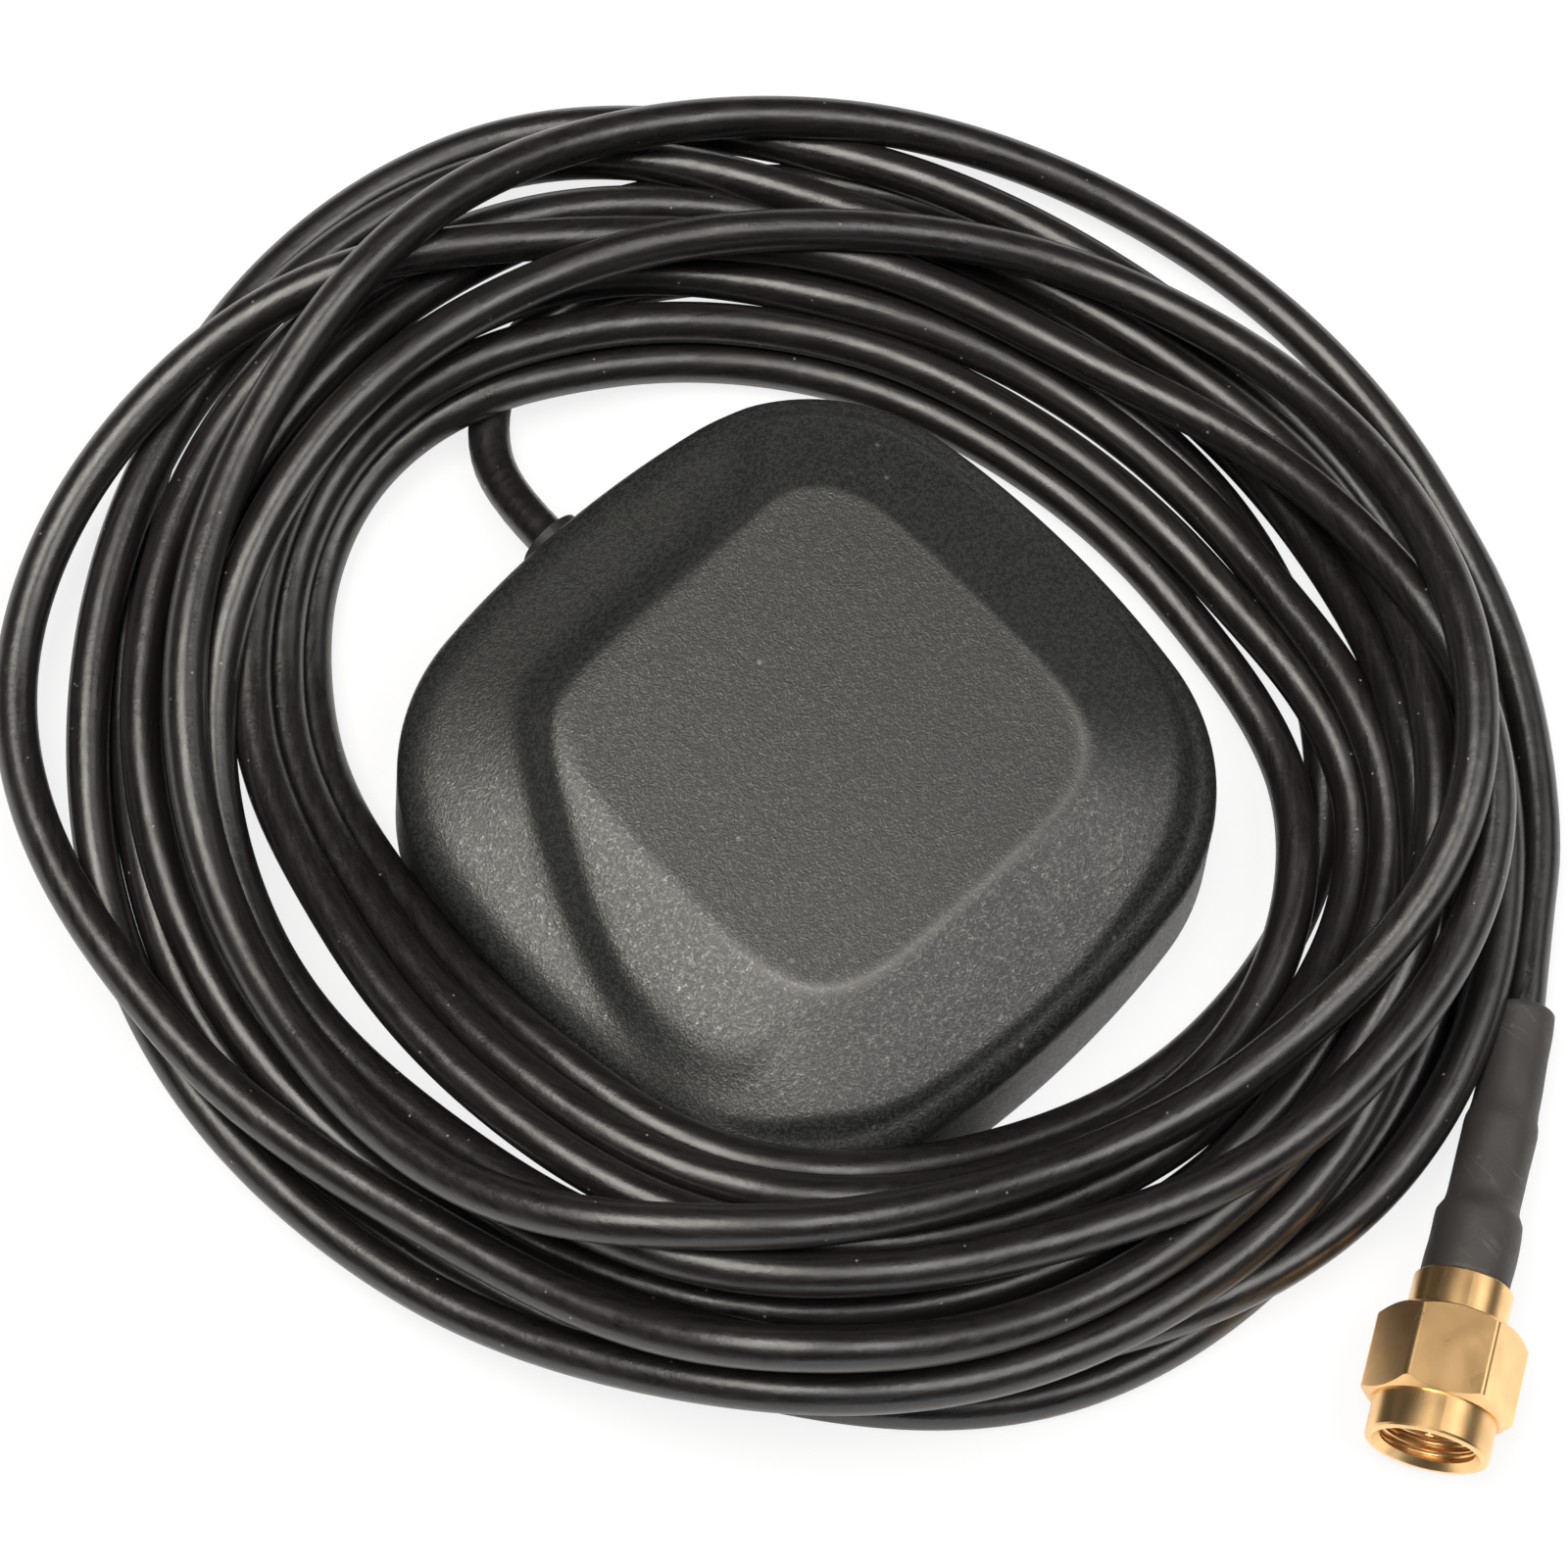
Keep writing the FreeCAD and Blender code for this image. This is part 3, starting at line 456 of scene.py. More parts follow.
def gold_finish(settings):
    """Turned and plated gold: fine tool rings round the plug's axis, tarnish and small rubs."""
    material, tree, shader, place = blank_finish("gold_plate")
    back = plug_matrix().inverted()
    centred = mapped(tree, place, Rotation=back.to_euler(), Location=back.to_translation())
    rings = noise(tree, mapped(tree, centred, Scale=(0.06, 0.06, 1.0)), 9000.0)
    grain = use_group(tree, grain_group(), place, Scale=6500.0)
    marks = use_group(tree, marks_group(), place, Scale=700.0, Specks=2600.0)
    colour = varied(tree, ranged(tree, marks["Unevenness"], 0.35, 0.75), settings.gold, 1.0, 0.82)
    colour = mixed(tree, times(tree, marks["Scratches"], 0.06), colour, shade(RUBBED_GOLD))
    rough = ranged(tree, marks["Unevenness"], 0.3, 0.7, settings.roughness - 0.02, settings.roughness + 0.06)
    height = plus(tree, rings, times(tree, grain["Height"], 0.2))
    feed(tree, shader, colour, rough, height, 0.000006, 0.2)
    shader.inputs["Metallic"].default_value = 1.0
    return material


def sleeve_finish(settings):
    """Matt shrunk polyolefin with rubbed patches and pale scuffs."""
    material, tree, shader, place = blank_finish("shrink_sleeve")
    grain = use_group(tree, grain_group(), place, Scale=3800.0)
    marks = use_group(tree, marks_group(), place, Scale=380.0, Specks=900.0)
    colour = varied(tree, ranged(tree, marks["Unevenness"], 0.3, 0.7), settings.sleeve, 0.85, 1.2)
    colour = mixed(tree, times(tree, marks["Scratches"], 0.15), colour, shade((0.3, 0.28, 0.26)))
    colour = dusted(tree, marks, 0.5, colour, (0.35, 0.33, 0.31))
    rough = ranged(tree, grain["Flecks"], 0.0, 1.0, 0.5, 0.62)
    feed(tree, shader, colour, rough, grain["Height"], 0.00005, 0.45)
    return material


def board_finish():
    """Green solder mask over copper tracks, with the weave showing faintly."""
    material, tree, shader, place = blank_finish("board_green")
    weave = node(tree, "ShaderNodeTexBrick", {
        "Vector": place, "Scale": 900.0, "Mortar Size": 0.12, "Color1": (0.015, 0.12, 0.05, 1.0),
        "Color2": (0.02, 0.15, 0.06, 1.0), "Mortar": (0.012, 0.1, 0.04, 1.0)}).outputs[0]
    tracks = node(tree, "ShaderNodeTexVoronoi", {"Vector": place, "Scale": 240.0},
                  distance="CHEBYCHEV", feature="DISTANCE_TO_EDGE")
    copper = ranged(tree, tracks.outputs["Distance"], 0.05, 0.07, 1.0, 0.0)
    colour = mixed(tree, times(tree, copper, 0.6), weave, (0.06, 0.2, 0.07, 1.0))
    feed(tree, shader, colour, ranged(tree, copper, 0.0, 1.0, 0.34, 0.26), copper, 0.00003, 0.6)
    return material


def braid_finish():
    """Woven tinned wires round a cable."""
    material, tree, shader, place = blank_finish("braid_tinned")
    waves = []
    for way in (place, mapped(tree, place, Rotation=(0.0, 0.0, math.radians(90)))):
        wave = node(tree, "ShaderNodeTexWave", {"Vector": way, "Scale": 900.0}, bands_direction="DIAGONAL")
        waves.append(wave.outputs["Fac"])
    wires = maths(tree, "MAXIMUM", *waves)
    colour = mixed(tree, wires, (0.25, 0.24, 0.22, 1.0), (0.75, 0.74, 0.71, 1.0))
    feed(tree, shader, colour, ranged(tree, wires, 0.0, 1.0, 0.55, 0.28), wires, 0.00008, 0.8)
    shader.inputs["Metallic"].default_value = 1.0
    return material


def dress_moulded(*rows):
    """Moulded finishes for CAD nodes, from rows of name, colour, roughness, nodes and any other values."""
    for name, colour, roughness, nodes, *other in rows:
        dress(moulded_finish(name, colour, roughness, **dict(*other)), *nodes)


def dress(material, *names):
    """Give one finish to CAD nodes, in every slot."""
    for name in names:
        mesh = frame["nodes"][name].data
        if not mesh.materials:
            mesh.materials.append(material)
        for index in range(len(mesh.materials)):
            mesh.materials[index] = material


# Shape of the puck's cover

def outline_reach():
    """Where a side meets a corner on the puck's outline: the side's middle and the corner's."""
    far = PUCK_HALF - SIDE_BULGE
    near = (2 * far + math.sqrt(4 * far * far - 8 * (far * far - (SIDE_BULGE - CORNER) ** 2))) / 4
    return far, near


def inset_at(x, y):
    """How far inside the puck's outline points lie, less than zero outside, in millimetres."""
    far, near = outline_reach()
    across, along = np.maximum(abs(x), abs(y)), np.minimum(abs(x), abs(y))
    in_corner = along * (near - far) > near * (across - far)
    from_corner = CORNER - np.hypot(across - near, along - near)
    from_side = SIDE_BULGE - np.hypot(across - far, along)
    return np.where(in_corner, from_corner, from_side)


def rounded(share):
    """Rise of a full soft round, from 0 at its start to 1."""
    return (1.0 - (1.0 - np.clip(share, 0.0, 1.0)) ** ROUND_POWER) ** (1 / ROUND_POWER)


def soft_low(a, b, soft):
    """The lower of two heights, run softly together."""
    return (a + b - np.sqrt((a - b) ** 2 + soft ** 2)) / 2


def soft_high(a, b, soft):
    """The higher of two heights, run softly together."""
    return (a + b + np.sqrt((a - b) ** 2 + soft ** 2)) / 2


def cover_height(x, y):
    """Height of the cover: a flat top, long slopes at two sides, and a step to the ledge at the others."""
    inset = np.maximum(inset_at(x, y), 0.0)
    ledge = WALL_TOP + SHOULDER_RISE * rounded(inset / SHOULDER_WIDTH) + LEDGE_TILT * inset
    rim = WALL_TOP + RIM_RISE * rounded(inset / RIM_WIDTH) + RIM_TILT * np.maximum(inset - RIM_START, 0.0)
    (mx, my), (hx, hy) = PANEL_MIDDLE, PANEL_HALF
    square = (abs((x - mx) / hx) ** PANEL_POWER + abs((y - my) / hy) ** PANEL_POWER) ** (1 / PANEL_POWER)
    towards_left = np.clip((mx - x) / np.maximum(abs(y), 1.0) - 0.4, 0.0, 1.0)
    slope = PUCK_HEIGHT - (PANEL_SLOPE - LEFT_EASE * towards_left) * (square - 1.0) * SLOPE_RUN
    top = soft_low(slope, PUCK_HEIGHT, TOP_SOFT)
    far_step = FAR_STEP - y + 0.1 * np.maximum(x - 7.0, 0.0) ** 2
    left_step = 0.93 * (x + LEFT_STEP - 0.33 * y - 0.012 * y * y)
    steepness = STEP_STEEP + 0.06 * np.clip(y + 2.0, -10.0, 0.0)
    steep = ledge + steepness * soft_low(far_step, left_step, CORNER_SOFT)
    foot = FOOT_SOFT + 0.09 * np.clip(x - 3.0, 0.0, 8.0) + 0.1 * np.clip(-9.0 - y, 0.0, 8.0)
    raised = soft_high(ledge, soft_low(top, steep, EDGE_SOFT), foot)
    return np.minimum(soft_low(raised, rim, RIM_SOFT), PUCK_HEIGHT)


def outline_points(count):
    """Points round the puck's outline at even angles, in millimetres."""
    angles = np.arange(count) * 2 * math.pi / count
    low, high = np.full(count, 10.0), np.full(count, 40.0)
    for _ in range(40):
        middle = (low + high) / 2
        inside = inset_at(middle * np.cos(angles), middle * np.sin(angles)) > 0
        low, high = np.where(inside, middle, low), np.where(inside, high, middle)
    return low * np.cos(angles), low * np.sin(angles)


def make_cover(settings):
    """The moulded cover as one closed shell with a fine even mesh."""
    count = COVER_SIDES
    ox, oy = outline_points(count)
    grown = 1 + WALL_DRAFT / PUCK_HALF
    tray = TRAY_HALF / PUCK_HALF
    foot = WALL_FOOT + FOOT_CHAMFER
    rings = [(tray, TRAY_TOP), (tray, WALL_FOOT + 0.02), (grown - 0.012, WALL_FOOT), (grown, foot)]
    for step in range(1, WALL_ROWS):
        share = step / WALL_ROWS
        rings.append((grown + (1 - grown) * share, foot + (WALL_TOP - foot) * share))
    rows = [(ox * scale, oy * scale, np.full(count, z)) for scale, z in rings]
    for step in range(TOP_ROWS):
        share = (step / TOP_ROWS) ** 2
        if step >= EDGE_ROWS:
            share = EDGE_SHARE + TOP_SHARE * (step - EDGE_ROWS) / (TOP_ROWS - EDGE_ROWS)
        x, y = ox * (1 - share), oy * (1 - share)
        rows.append((x, y, cover_height(x, y)))
    points = [(x * MM, y * MM, z * MM) for row in rows for x, y, z in zip(*row)]
    faces = band_faces(len(rows), count)
    last = len(points) - count
    points.append((0.0, 0.0, PUCK_HEIGHT * MM))
    faces += [(last + step, last + (step + 1) % count, len(points) - 1) for step in range(count)]
    # the inside: a flat ceiling over the tray, above the electronics
    ceiling = len(points)
    for scale, z in CEILING_RINGS:
        points += [(x * scale * MM, y * scale * MM, z * MM) for x, y in zip(ox, oy)]
    points.append((0.0, 0.0, CEILING_RINGS[-1][1] * MM))
    for step in range(count):
        after = (step + 1) % count
        faces.append((step, after, ceiling + after, ceiling + step))
        faces.append((ceiling + step, ceiling + after, ceiling + count + after, ceiling + count + step))
        faces.append((ceiling + count + step, ceiling + count + after, len(points) - 1))
    cover = mesh_object("cover_shell", points, faces)
    cover.data.materials.append(cover_finish(settings))
    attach(cover, "antenna")
    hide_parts("top_cover")


# Turns of the lead

def rest_height(inset, radius):
    """How high a strand's middle lies where it rests on the puck's corner, by how far it is inside."""
    marks = np.concatenate([np.linspace(0, 0.5, 12), np.linspace(0.6, 6, 28)])
    diagonal = -outline_reach()[1] - (CORNER - marks) / math.sqrt(2)
    heights = cover_height(diagonal, diagonal)
    slope = np.gradient(heights, marks)
    length = np.hypot(slope, 1.0)
    ball_x, ball_z = marks - radius * slope / length, heights + radius / length
    order = np.argsort(ball_x)
    return np.where(inset > -radius, np.interp(inset, ball_x[order], ball_z[order]), 0.0)


def clock_xy(clock, radius):
    """Plan position of a point of the coil, in millimetres."""
    angle = np.radians(clock + CLOCK_TURN)
    return COIL_CENTRE[0] + radius * np.cos(angle), COIL_CENTRE[1] + radius * np.sin(angle)


def eased(values, between):
    """A smooth line through evenly spaced values, with more steps between them."""
    padded = [2 * values[0] - values[1]] + values + [2 * values[-1] - values[-2]]
    line = []
    for a, b, c, d in zip(padded, padded[1:], padded[2:], padded[3:]):
        for step in range(between):
            t = step / between
            line.append(0.5 * (2 * b + (c - a) * t + (2 * a - 5 * b + 4 * c - d) * t * t
                               + (3 * b - 3 * c + d - a) * t ** 3))
    return np.array(line + [values[-1]])


def lead_and_plug(radius):
    """Balls along the lead's start and the plug that the turns pass over, in millimetres."""
    balls = []
    for route, berth in ((LEAD_ROUTE, LEAD_BERTH), (TAIL_ROUTE, 0.0)):
        for start, end in zip(route, route[1:]):
            for step in range(4):
                balls.append([s + (e - s) * step / 4 for s, e in zip(start, end)] + [radius + berth])
    for step in range(PLUG_BALLS):
        reach = NUT_REACH if step < NUT_BALLS else SLEEVE_REACH
        balls.append(list(plug_point(step, 0.0, 0.0) / MM) + [reach])
    return np.array(balls)


def smoothed(line, passes):
    """A line evened out along its length, with its first and last values held."""
    for _ in range(passes):
        middle = line[1:-1] * 0.5 + (line[:-2] + line[2:]) * 0.25
        line = np.concatenate([line[:1], middle, line[-1:]])
    return line


def settled_turns(settings):
    """Clock angle, radius and height along the loose turns, each laid on the turns before it."""
    radius = settings.diameter / MM / 2
    thick = 2 * radius
    read = eased([value for row in TURN_RADII for value in row], STATIONS // 12)
    total = len(read)
    clock = FIRST_CLOCK - 360.0 / STATIONS * np.arange(total)
    away = np.sin(np.radians(clock))
    rows = math.ceil(total / STATIONS)
    far = 1000.0 + 100.0 * np.arange(rows * STATIONS - total)
    lead = lead_and_plug(radius)
    later = np.tril(np.ones((rows, rows), bool), -1)[None]
    r, z = read.copy(), 1.4 + 0.8 * np.arange(total) / STATIONS

    def by_station(line, fill):
        return np.concatenate([line, fill]).reshape(rows, STATIONS).T

    def by_length(grid):
        return grid.T.reshape(-1)[:total]

    read_grid = by_station(read, far)
    inner = read_grid == read_grid.min(1, keepdims=True)
    outer = read_grid == np.where(read_grid < 900, read_grid, 0.0).max(1, keepdims=True)
    on_top = (np.arange(rows) >= TOP_TURN)[None]
    stray = smoothed(np.where(by_length(inner | outer | on_top), TIGHT_STRAY, settings.stray / MM), 40)
    for _ in range(SETTLE_ROUNDS):
        goal = read - settings.lean * (smoothed(z, 10) - 4.0) * away
        grid_r, grid_z = by_station(r, far), by_station(z, 0 * far)
        gap_r = grid_r[:, :, None] - grid_r[:, None, :]
        gap_z = grid_z[:, :, None] - grid_z[:, None, :]
        gap = np.sqrt(gap_r ** 2 + gap_z ** 2) + 1e-9
        beside = (gap < thick) & (abs(gap_r) > 0.1 * thick)
        push = np.where(beside, PUSH_SHARE * (thick - gap) * np.sign(gap_r), 0.0)
        r = r + by_length(push.sum(2))
        r = goal + np.clip(smoothed(r - goal, 6), -stray, stray)
        grid_r = by_station(r, far)
        gap_r = grid_r[:, :, None] - grid_r[:, None, :]
        over = np.sqrt(np.maximum(thick ** 2 - gap_r ** 2, 0.0))
        above = np.where(later & (abs(gap_r) < thick), grid_z[:, None, :] + over, 0.0).max(2)
        x, y = clock_xy(clock, r)
        floor = np.maximum(by_length(above), radius + 0.03)
        floor = np.maximum(floor, rest_height(inset_at(x, y), radius))
        apart = np.hypot(x[START_STATIONS:, None] - lead[None, :, 0],
                         y[START_STATIONS:, None] - lead[None, :, 1])
        reach = lead[None, :, 3] + radius
        over = lead[None, :, 2] + np.sqrt(np.maximum(reach ** 2 - apart ** 2, 0.0))
        over = np.where(apart < reach, over, 0.0).max(1)
        floor[START_STATIONS:] = np.maximum(floor[START_STATIONS:], over)
        z = np.maximum(smoothed(z, 4) - SINK, floor)
    return clock, r, smoothed(z, 6)


def make_cord(settings):
    """The whole lead as one smooth spline from the puck to the plug."""
    clock, r, z = settled_turns(settings)
    x, y = clock_xy(clock, r)
    mouth = tuple(plug_point(SLEEVE_LENGTH, 0.0, 0.0) / MM)
    points = LEAD_ROUTE + list(zip(x, y, z)) + TAIL_ROUTE[::-1] + [mouth]
    curve = bpy.data.curves.new("lead_cord", "CURVE")
    curve.dimensions = "3D"
    spline = curve.splines.new("NURBS")
    spline.points.add(len(points) - 1)
    for spline_point, (px, py, pz) in zip(spline.points, points):
        spline_point.co = (px * MM, py * MM, pz * MM, 1.0)
    spline.order_u = 3
    spline.use_endpoint_u = True
    spline.resolution_u = 5
    curve.bevel_depth = settings.diameter / 2
    curve.bevel_resolution = 6
    curve.use_fill_caps = True
    cord = placed("lead_cord", curve)
    finish = jacket_finish(settings)
    curve.materials.append(finish)
    dress(finish, "lead_jacket_end", "plug_jacket_end")
    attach(cord, "antenna")
    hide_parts("cord_lead", "cord_coil", "cord_tail")
    return cord


# Plug

def plug_matrix():
    """Turns a piece made along Z from the mouth of the nut on to the plug's line."""
    level = math.cos(PLUG_TILT)
    back = Vector((math.cos(PLUG_HEADING) * level, math.sin(PLUG_HEADING) * level, -math.sin(PLUG_TILT)))
    right = back.cross(Vector((0, 0, 1))).normalized()
    up = right.cross(back)
    turn = Matrix((up, right, back)).transposed().to_4x4()
    turn.translation = MOUTH
    return turn


def plug_point(along, across, angle):
    """A point at a distance along the plug, bent with the end of the sleeve, in metres."""
    x, y = across * math.cos(angle), across * math.sin(angle)
    if along <= SLEEVE_STRAIGHT:
        return plug_matrix() @ (Vector((x, y, along)) * MM)
    turn = (along - SLEEVE_STRAIGHT) / SLEEVE_BEND
    out = SLEEVE_BEND + y
    bent = Vector((x, out * math.cos(turn) - SLEEVE_BEND, SLEEVE_STRAIGHT + out * math.sin(turn)))
    return plug_matrix() @ (bent * MM)


def make_sleeve(settings):
    """The shrunk sleeve, a little uneven where it grips the ferrule and the jacket."""
    stations = []
    for (a, ra), (b, rb) in zip(SLEEVE_OUTSIDE, SLEEVE_OUTSIDE[1:]):
        steps = max(1, round((b - a) / SLEEVE_STEP))
        stations += [(a + (b - a) * i / steps, ra + (rb - ra) * i / steps, True) for i in range(steps)]
    stations.append((*SLEEVE_OUTSIDE[-1], True))
    stations += [(along, radius, False) for along, radius in SLEEVE_INSIDE]
    phase = np.random.default_rng(11).uniform(0, 2 * math.pi, 6)
    points = []
    for along, radius, outside in stations:
        for step in range(SLEEVE_SIDES):
            angle = 2 * math.pi * step / SLEEVE_SIDES
            wave = 0.0
            if outside:
                for index, (lobes, size, run) in enumerate(SLEEVE_WAVES):
                    wave += size * math.sin(lobes * angle + phase[index] + along * run)
                wave += 0.02 * math.sin(along * 1.3 + phase[3]) * math.cos(angle + phase[4])
            points.append(plug_point(along, radius + wave, angle))
    sleeve = mesh_object("shrink_sleeve", points, band_faces(len(stations), SLEEVE_SIDES, closed=True))
    sleeve.data.materials.append(sleeve_finish(settings))
    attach(sleeve, "antenna")
    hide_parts("heat_shrink_sleeve")


def thread_tree():
    """A helical thread ridge by Geometry Nodes: turns, pitch, radius and ridge size are its inputs."""
    tree = bpy.data.node_groups.new("Thread ridge", "GeometryNodeTree")
    sizes = {"Turns": 6.0, "Pitch": 0.000706, "Radius": THREAD_RADIUS, "Ridge": THREAD_RIDGE}
    for title, value in sizes.items():
        tree.interface.new_socket(title, in_out="INPUT", socket_type="NodeSocketFloat").default_value = value
    tree.interface.new_socket("Finish", in_out="INPUT", socket_type="NodeSocketMaterial")
    tree.interface.new_socket("Geometry", in_out="OUTPUT", socket_type="NodeSocketGeometry")
    entry, leave = tree.nodes.new("NodeGroupInput").outputs, tree.nodes.new("NodeGroupOutput").inputs
    spiral = node(tree, "GeometryNodeCurveSpiral", {
        "Resolution": 48, "Rotations": entry["Turns"], "Start Radius": entry["Radius"],
        "End Radius": entry["Radius"], "Height": times(tree, entry["Turns"], entry["Pitch"])})
    profile = node(tree, "GeometryNodeCurvePrimitiveCircle", {"Resolution": 6, "Radius": entry["Ridge"]})
    swept = node(tree, "GeometryNodeCurveToMesh", {
        "Curve": spiral.outputs["Curve"], "Profile Curve": profile.outputs["Curve"], "Fill Caps": True})
    real = node(tree, "GeometryNodeRealizeInstances", {"Geometry": swept.outputs["Mesh"]})
    painted = node(tree, "GeometryNodeSetMaterial", {
        "Geometry": real.outputs["Geometry"], "Material": entry["Finish"]})
    tree.links.new(painted.outputs["Geometry"], leave["Geometry"])
    return tree


def make_thread(settings, finish):
    """The nut's inside thread, made plain and laid on the plug's line."""
    carrier = placed("thread_carrier", bpy.data.meshes.new("thread_carrier"))
    tree = thread_tree()
    modifier = carrier.modifiers.new("Thread", "NODES")
    modifier.node_group = tree
    values = {"Turns": settings.thread_turns, "Pitch": settings.thread_pitch, "Radius": THREAD_RADIUS,
              "Ridge": THREAD_RIDGE, "Finish": finish}
    for item in tree.interface.items_tree:
        if item.in_out == "INPUT" and item.name in values:
            modifier[item.identifier] = values[item.name]
    ready = carrier.evaluated_get(bpy.context.evaluated_depsgraph_get())
    mesh = bpy.data.meshes.new_from_object(ready)
    bpy.data.objects.remove(carrier)
    mesh.transform(Matrix.Translation((0, 0, THREAD_START)))
    mesh.transform(plug_matrix())
    for polygon in mesh.polygons:
        polygon.use_smooth = True
    thread = placed("nut_thread", mesh)
    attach(thread, "nut")


# Settings

COLOUR = {"subtype": "COLOR", "size": 3, "min": 0.0, "max": 1.0}
LENGTH = {"unit": "LENGTH", "subtype": "DISTANCE"}
SHARE = {"subtype": "FACTOR", "min": 0.0, "max": 1.0}


class CoverSettings(bpy.types.PropertyGroup):
    """Finish of the puck's cover"""
    colour: FloatVectorProperty(
        name="Plastic", description="Colour of the moulded cover", default=(0.0105, 0.0108, 0.0101), **COLOUR)
    grain_scale: FloatProperty(
        name="Grain", description="Fineness of the mould grain", default=7000.0, min=500.0)
    roughness: FloatProperty(
        name="Roughness", description="How matt the cover is", default=0.36, **SHARE)


class CordSettings(bpy.types.PropertyGroup):
    """Size and finish of the lead"""
    diameter: FloatProperty(
        name="Diameter", description="Outside of the lead's jacket", default=0.0027, min=0.001,
        precision=4, **LENGTH)
    length: FloatProperty(
        name="Length", description="Length of the lead from puck to plug", default=2.4, min=0.1, **LENGTH)
    lean: FloatProperty(
        name="Lean", description="How far a raised strand is drawn towards the viewer", default=0.364,
        min=0.0, max=1.0)
    stray: FloatProperty(
        name="Stray", description="How far a strand may be pushed from its turn", default=0.0025, min=0.0,
        precision=4, **LENGTH)
    colour: FloatVectorProperty(
        name="Jacket", description="Colour of the jacket", default=(0.0095, 0.008, 0.0076), **COLOUR)
    roughness: FloatProperty(
        name="Roughness", description="How matt the jacket is", default=0.3, **SHARE)


class PlugSettings(bpy.types.PropertyGroup):
    """Finish of the plug and its sleeve"""
    gold: FloatVectorProperty(
        name="Gold", description="Colour of the plating", default=(0.95, 0.615, 0.29), **COLOUR)
    sleeve: FloatVectorProperty(
        name="Sleeve", description="Colour of the shrunk sleeve", default=(0.037, 0.033, 0.031), **COLOUR)
    roughness: FloatProperty(
        name="Roughness", description="How matt the plating is", default=0.28, **SHARE)
    thread_turns: FloatProperty(
        name="Thread turns", description="Turns of the nut's thread", default=6.0, min=1.0)
    thread_pitch: FloatProperty(
        name="Thread pitch", description="Distance between two turns", default=0.000706, min=0.0001,
        precision=6, **LENGTH)


class StageSettings(bpy.types.PropertyGroup):
    """Light and camera"""
    key: FloatProperty(
        name="Key", description="Power of the main lamp", default=4.3, min=0.0, unit="POWER")
    fill: FloatProperty(
        name="Fill", description="Power of the side lamps", default=1.9, min=0.0, unit="POWER")
    ambient: FloatProperty(
        name="Surroundings", description="Strength of the pale surroundings", default=0.2, min=0.0)
    floor: FloatVectorProperty(
        name="Floor", description="Colour of the floor", default=(0.97, 0.97, 0.97), **COLOUR)
    azimuth: FloatProperty(
        name="Azimuth", description="Side that the camera looks from", default=math.radians(-49.15),
        subtype="ANGLE")
    elevation: FloatProperty(
        name="Elevation", description="Height that the camera looks from", default=math.radians(69.97),
        subtype="ANGLE")
    roll: FloatProperty(
        name="Roll", description="Turn of the picture", default=math.radians(6.06), subtype="ANGLE")
    distance: FloatProperty(
        name="Distance", description="From the camera to the floor", default=0.25957, min=0.05, **LENGTH)


SETTINGS = {"antenna_cover": CoverSettings, "antenna_cord": CordSettings, "antenna_plug": PlugSettings,
            "antenna_stage": StageSettings}


# Operators

class ANTENNA_OT_cover(bpy.types.Operator):
    """Make the moulded cover of the puck"""
    bl_idname = "antenna.cover"
    bl_label = "Puck cover"

    def execute(self, context):
        make_cover(context.scene.antenna_cover)
        return {"FINISHED"}


class ANTENNA_OT_underside(bpy.types.Operator):
    """Finish the tray, its pad, screws, magnets and seal"""
    bl_idname = "antenna.underside"
    bl_label = "Underside"

    def execute(self, context):
        dress_moulded(
            ("tray_plastic", (0.03, 0.03, 0.03), 0.5, ["base_plate"]),
            ("pad_foam", (0.022, 0.022, 0.023), 0.85, ["base_pad"], {"grain": 1500.0, "depth": 0.00025}),
            ("screw_steel", (0.55, 0.54, 0.52), 0.28, ["base_screws"], SMOOTH_METAL),
            ("magnet_nickel", (0.62, 0.6, 0.56), 0.18, ["base_magnets"],
             {"metallic": 1.0, "depth": 0.000005}),
            ("seal_rubber", (0.05, 0.05, 0.052), 0.6, ["sealing_gasket"]))
        return {"FINISHED"}


class ANTENNA_OT_electronics(bpy.types.Operator):
    """Finish the board, the ceramic patch and the parts on the board"""
    bl_idname = "antenna.electronics"
    bl_label = "Electronics"

    def execute(self, context):
        dress(board_finish(), "circuit_board")
        dress_moulded(
            ("ceramic_pale", (0.62, 0.55, 0.44), 0.5, ["ceramic_patch"], {"grain": 3600.0}),
            ("silver_fired", (0.78, 0.77, 0.74), 0.38, ["patch_electrode"], METAL),
            ("tape_clear", (0.5, 0.48, 0.4), 0.3, ["patch_tape"]),
            ("tin_plate", (0.66, 0.66, 0.64), 0.24, ["shield_can", "braid_clip"], SMOOTH_METAL),
            ("solder_tin", (0.7, 0.7, 0.68), 0.3, ["feed_solder", "lead_solder"],
             {"metallic": 1.0, "grain": 900.0}),
            ("chip_black", (0.02, 0.02, 0.021), 0.45, ["amplifier_chips"]),
            ("filter_white", (0.6, 0.6, 0.57), 0.3, ["signal_filter"]),
            ("capacitor_tan", (0.42, 0.28, 0.16), 0.4, ["chip_capacitors"]),
            ("inductor_grey", (0.2, 0.2, 0.21), 0.45, ["chip_inductors"]),
            ("pin_brass", (0.75, 0.58, 0.3), 0.25, ["feed_pin"], SMOOTH_METAL))
        return {"FINISHED"}


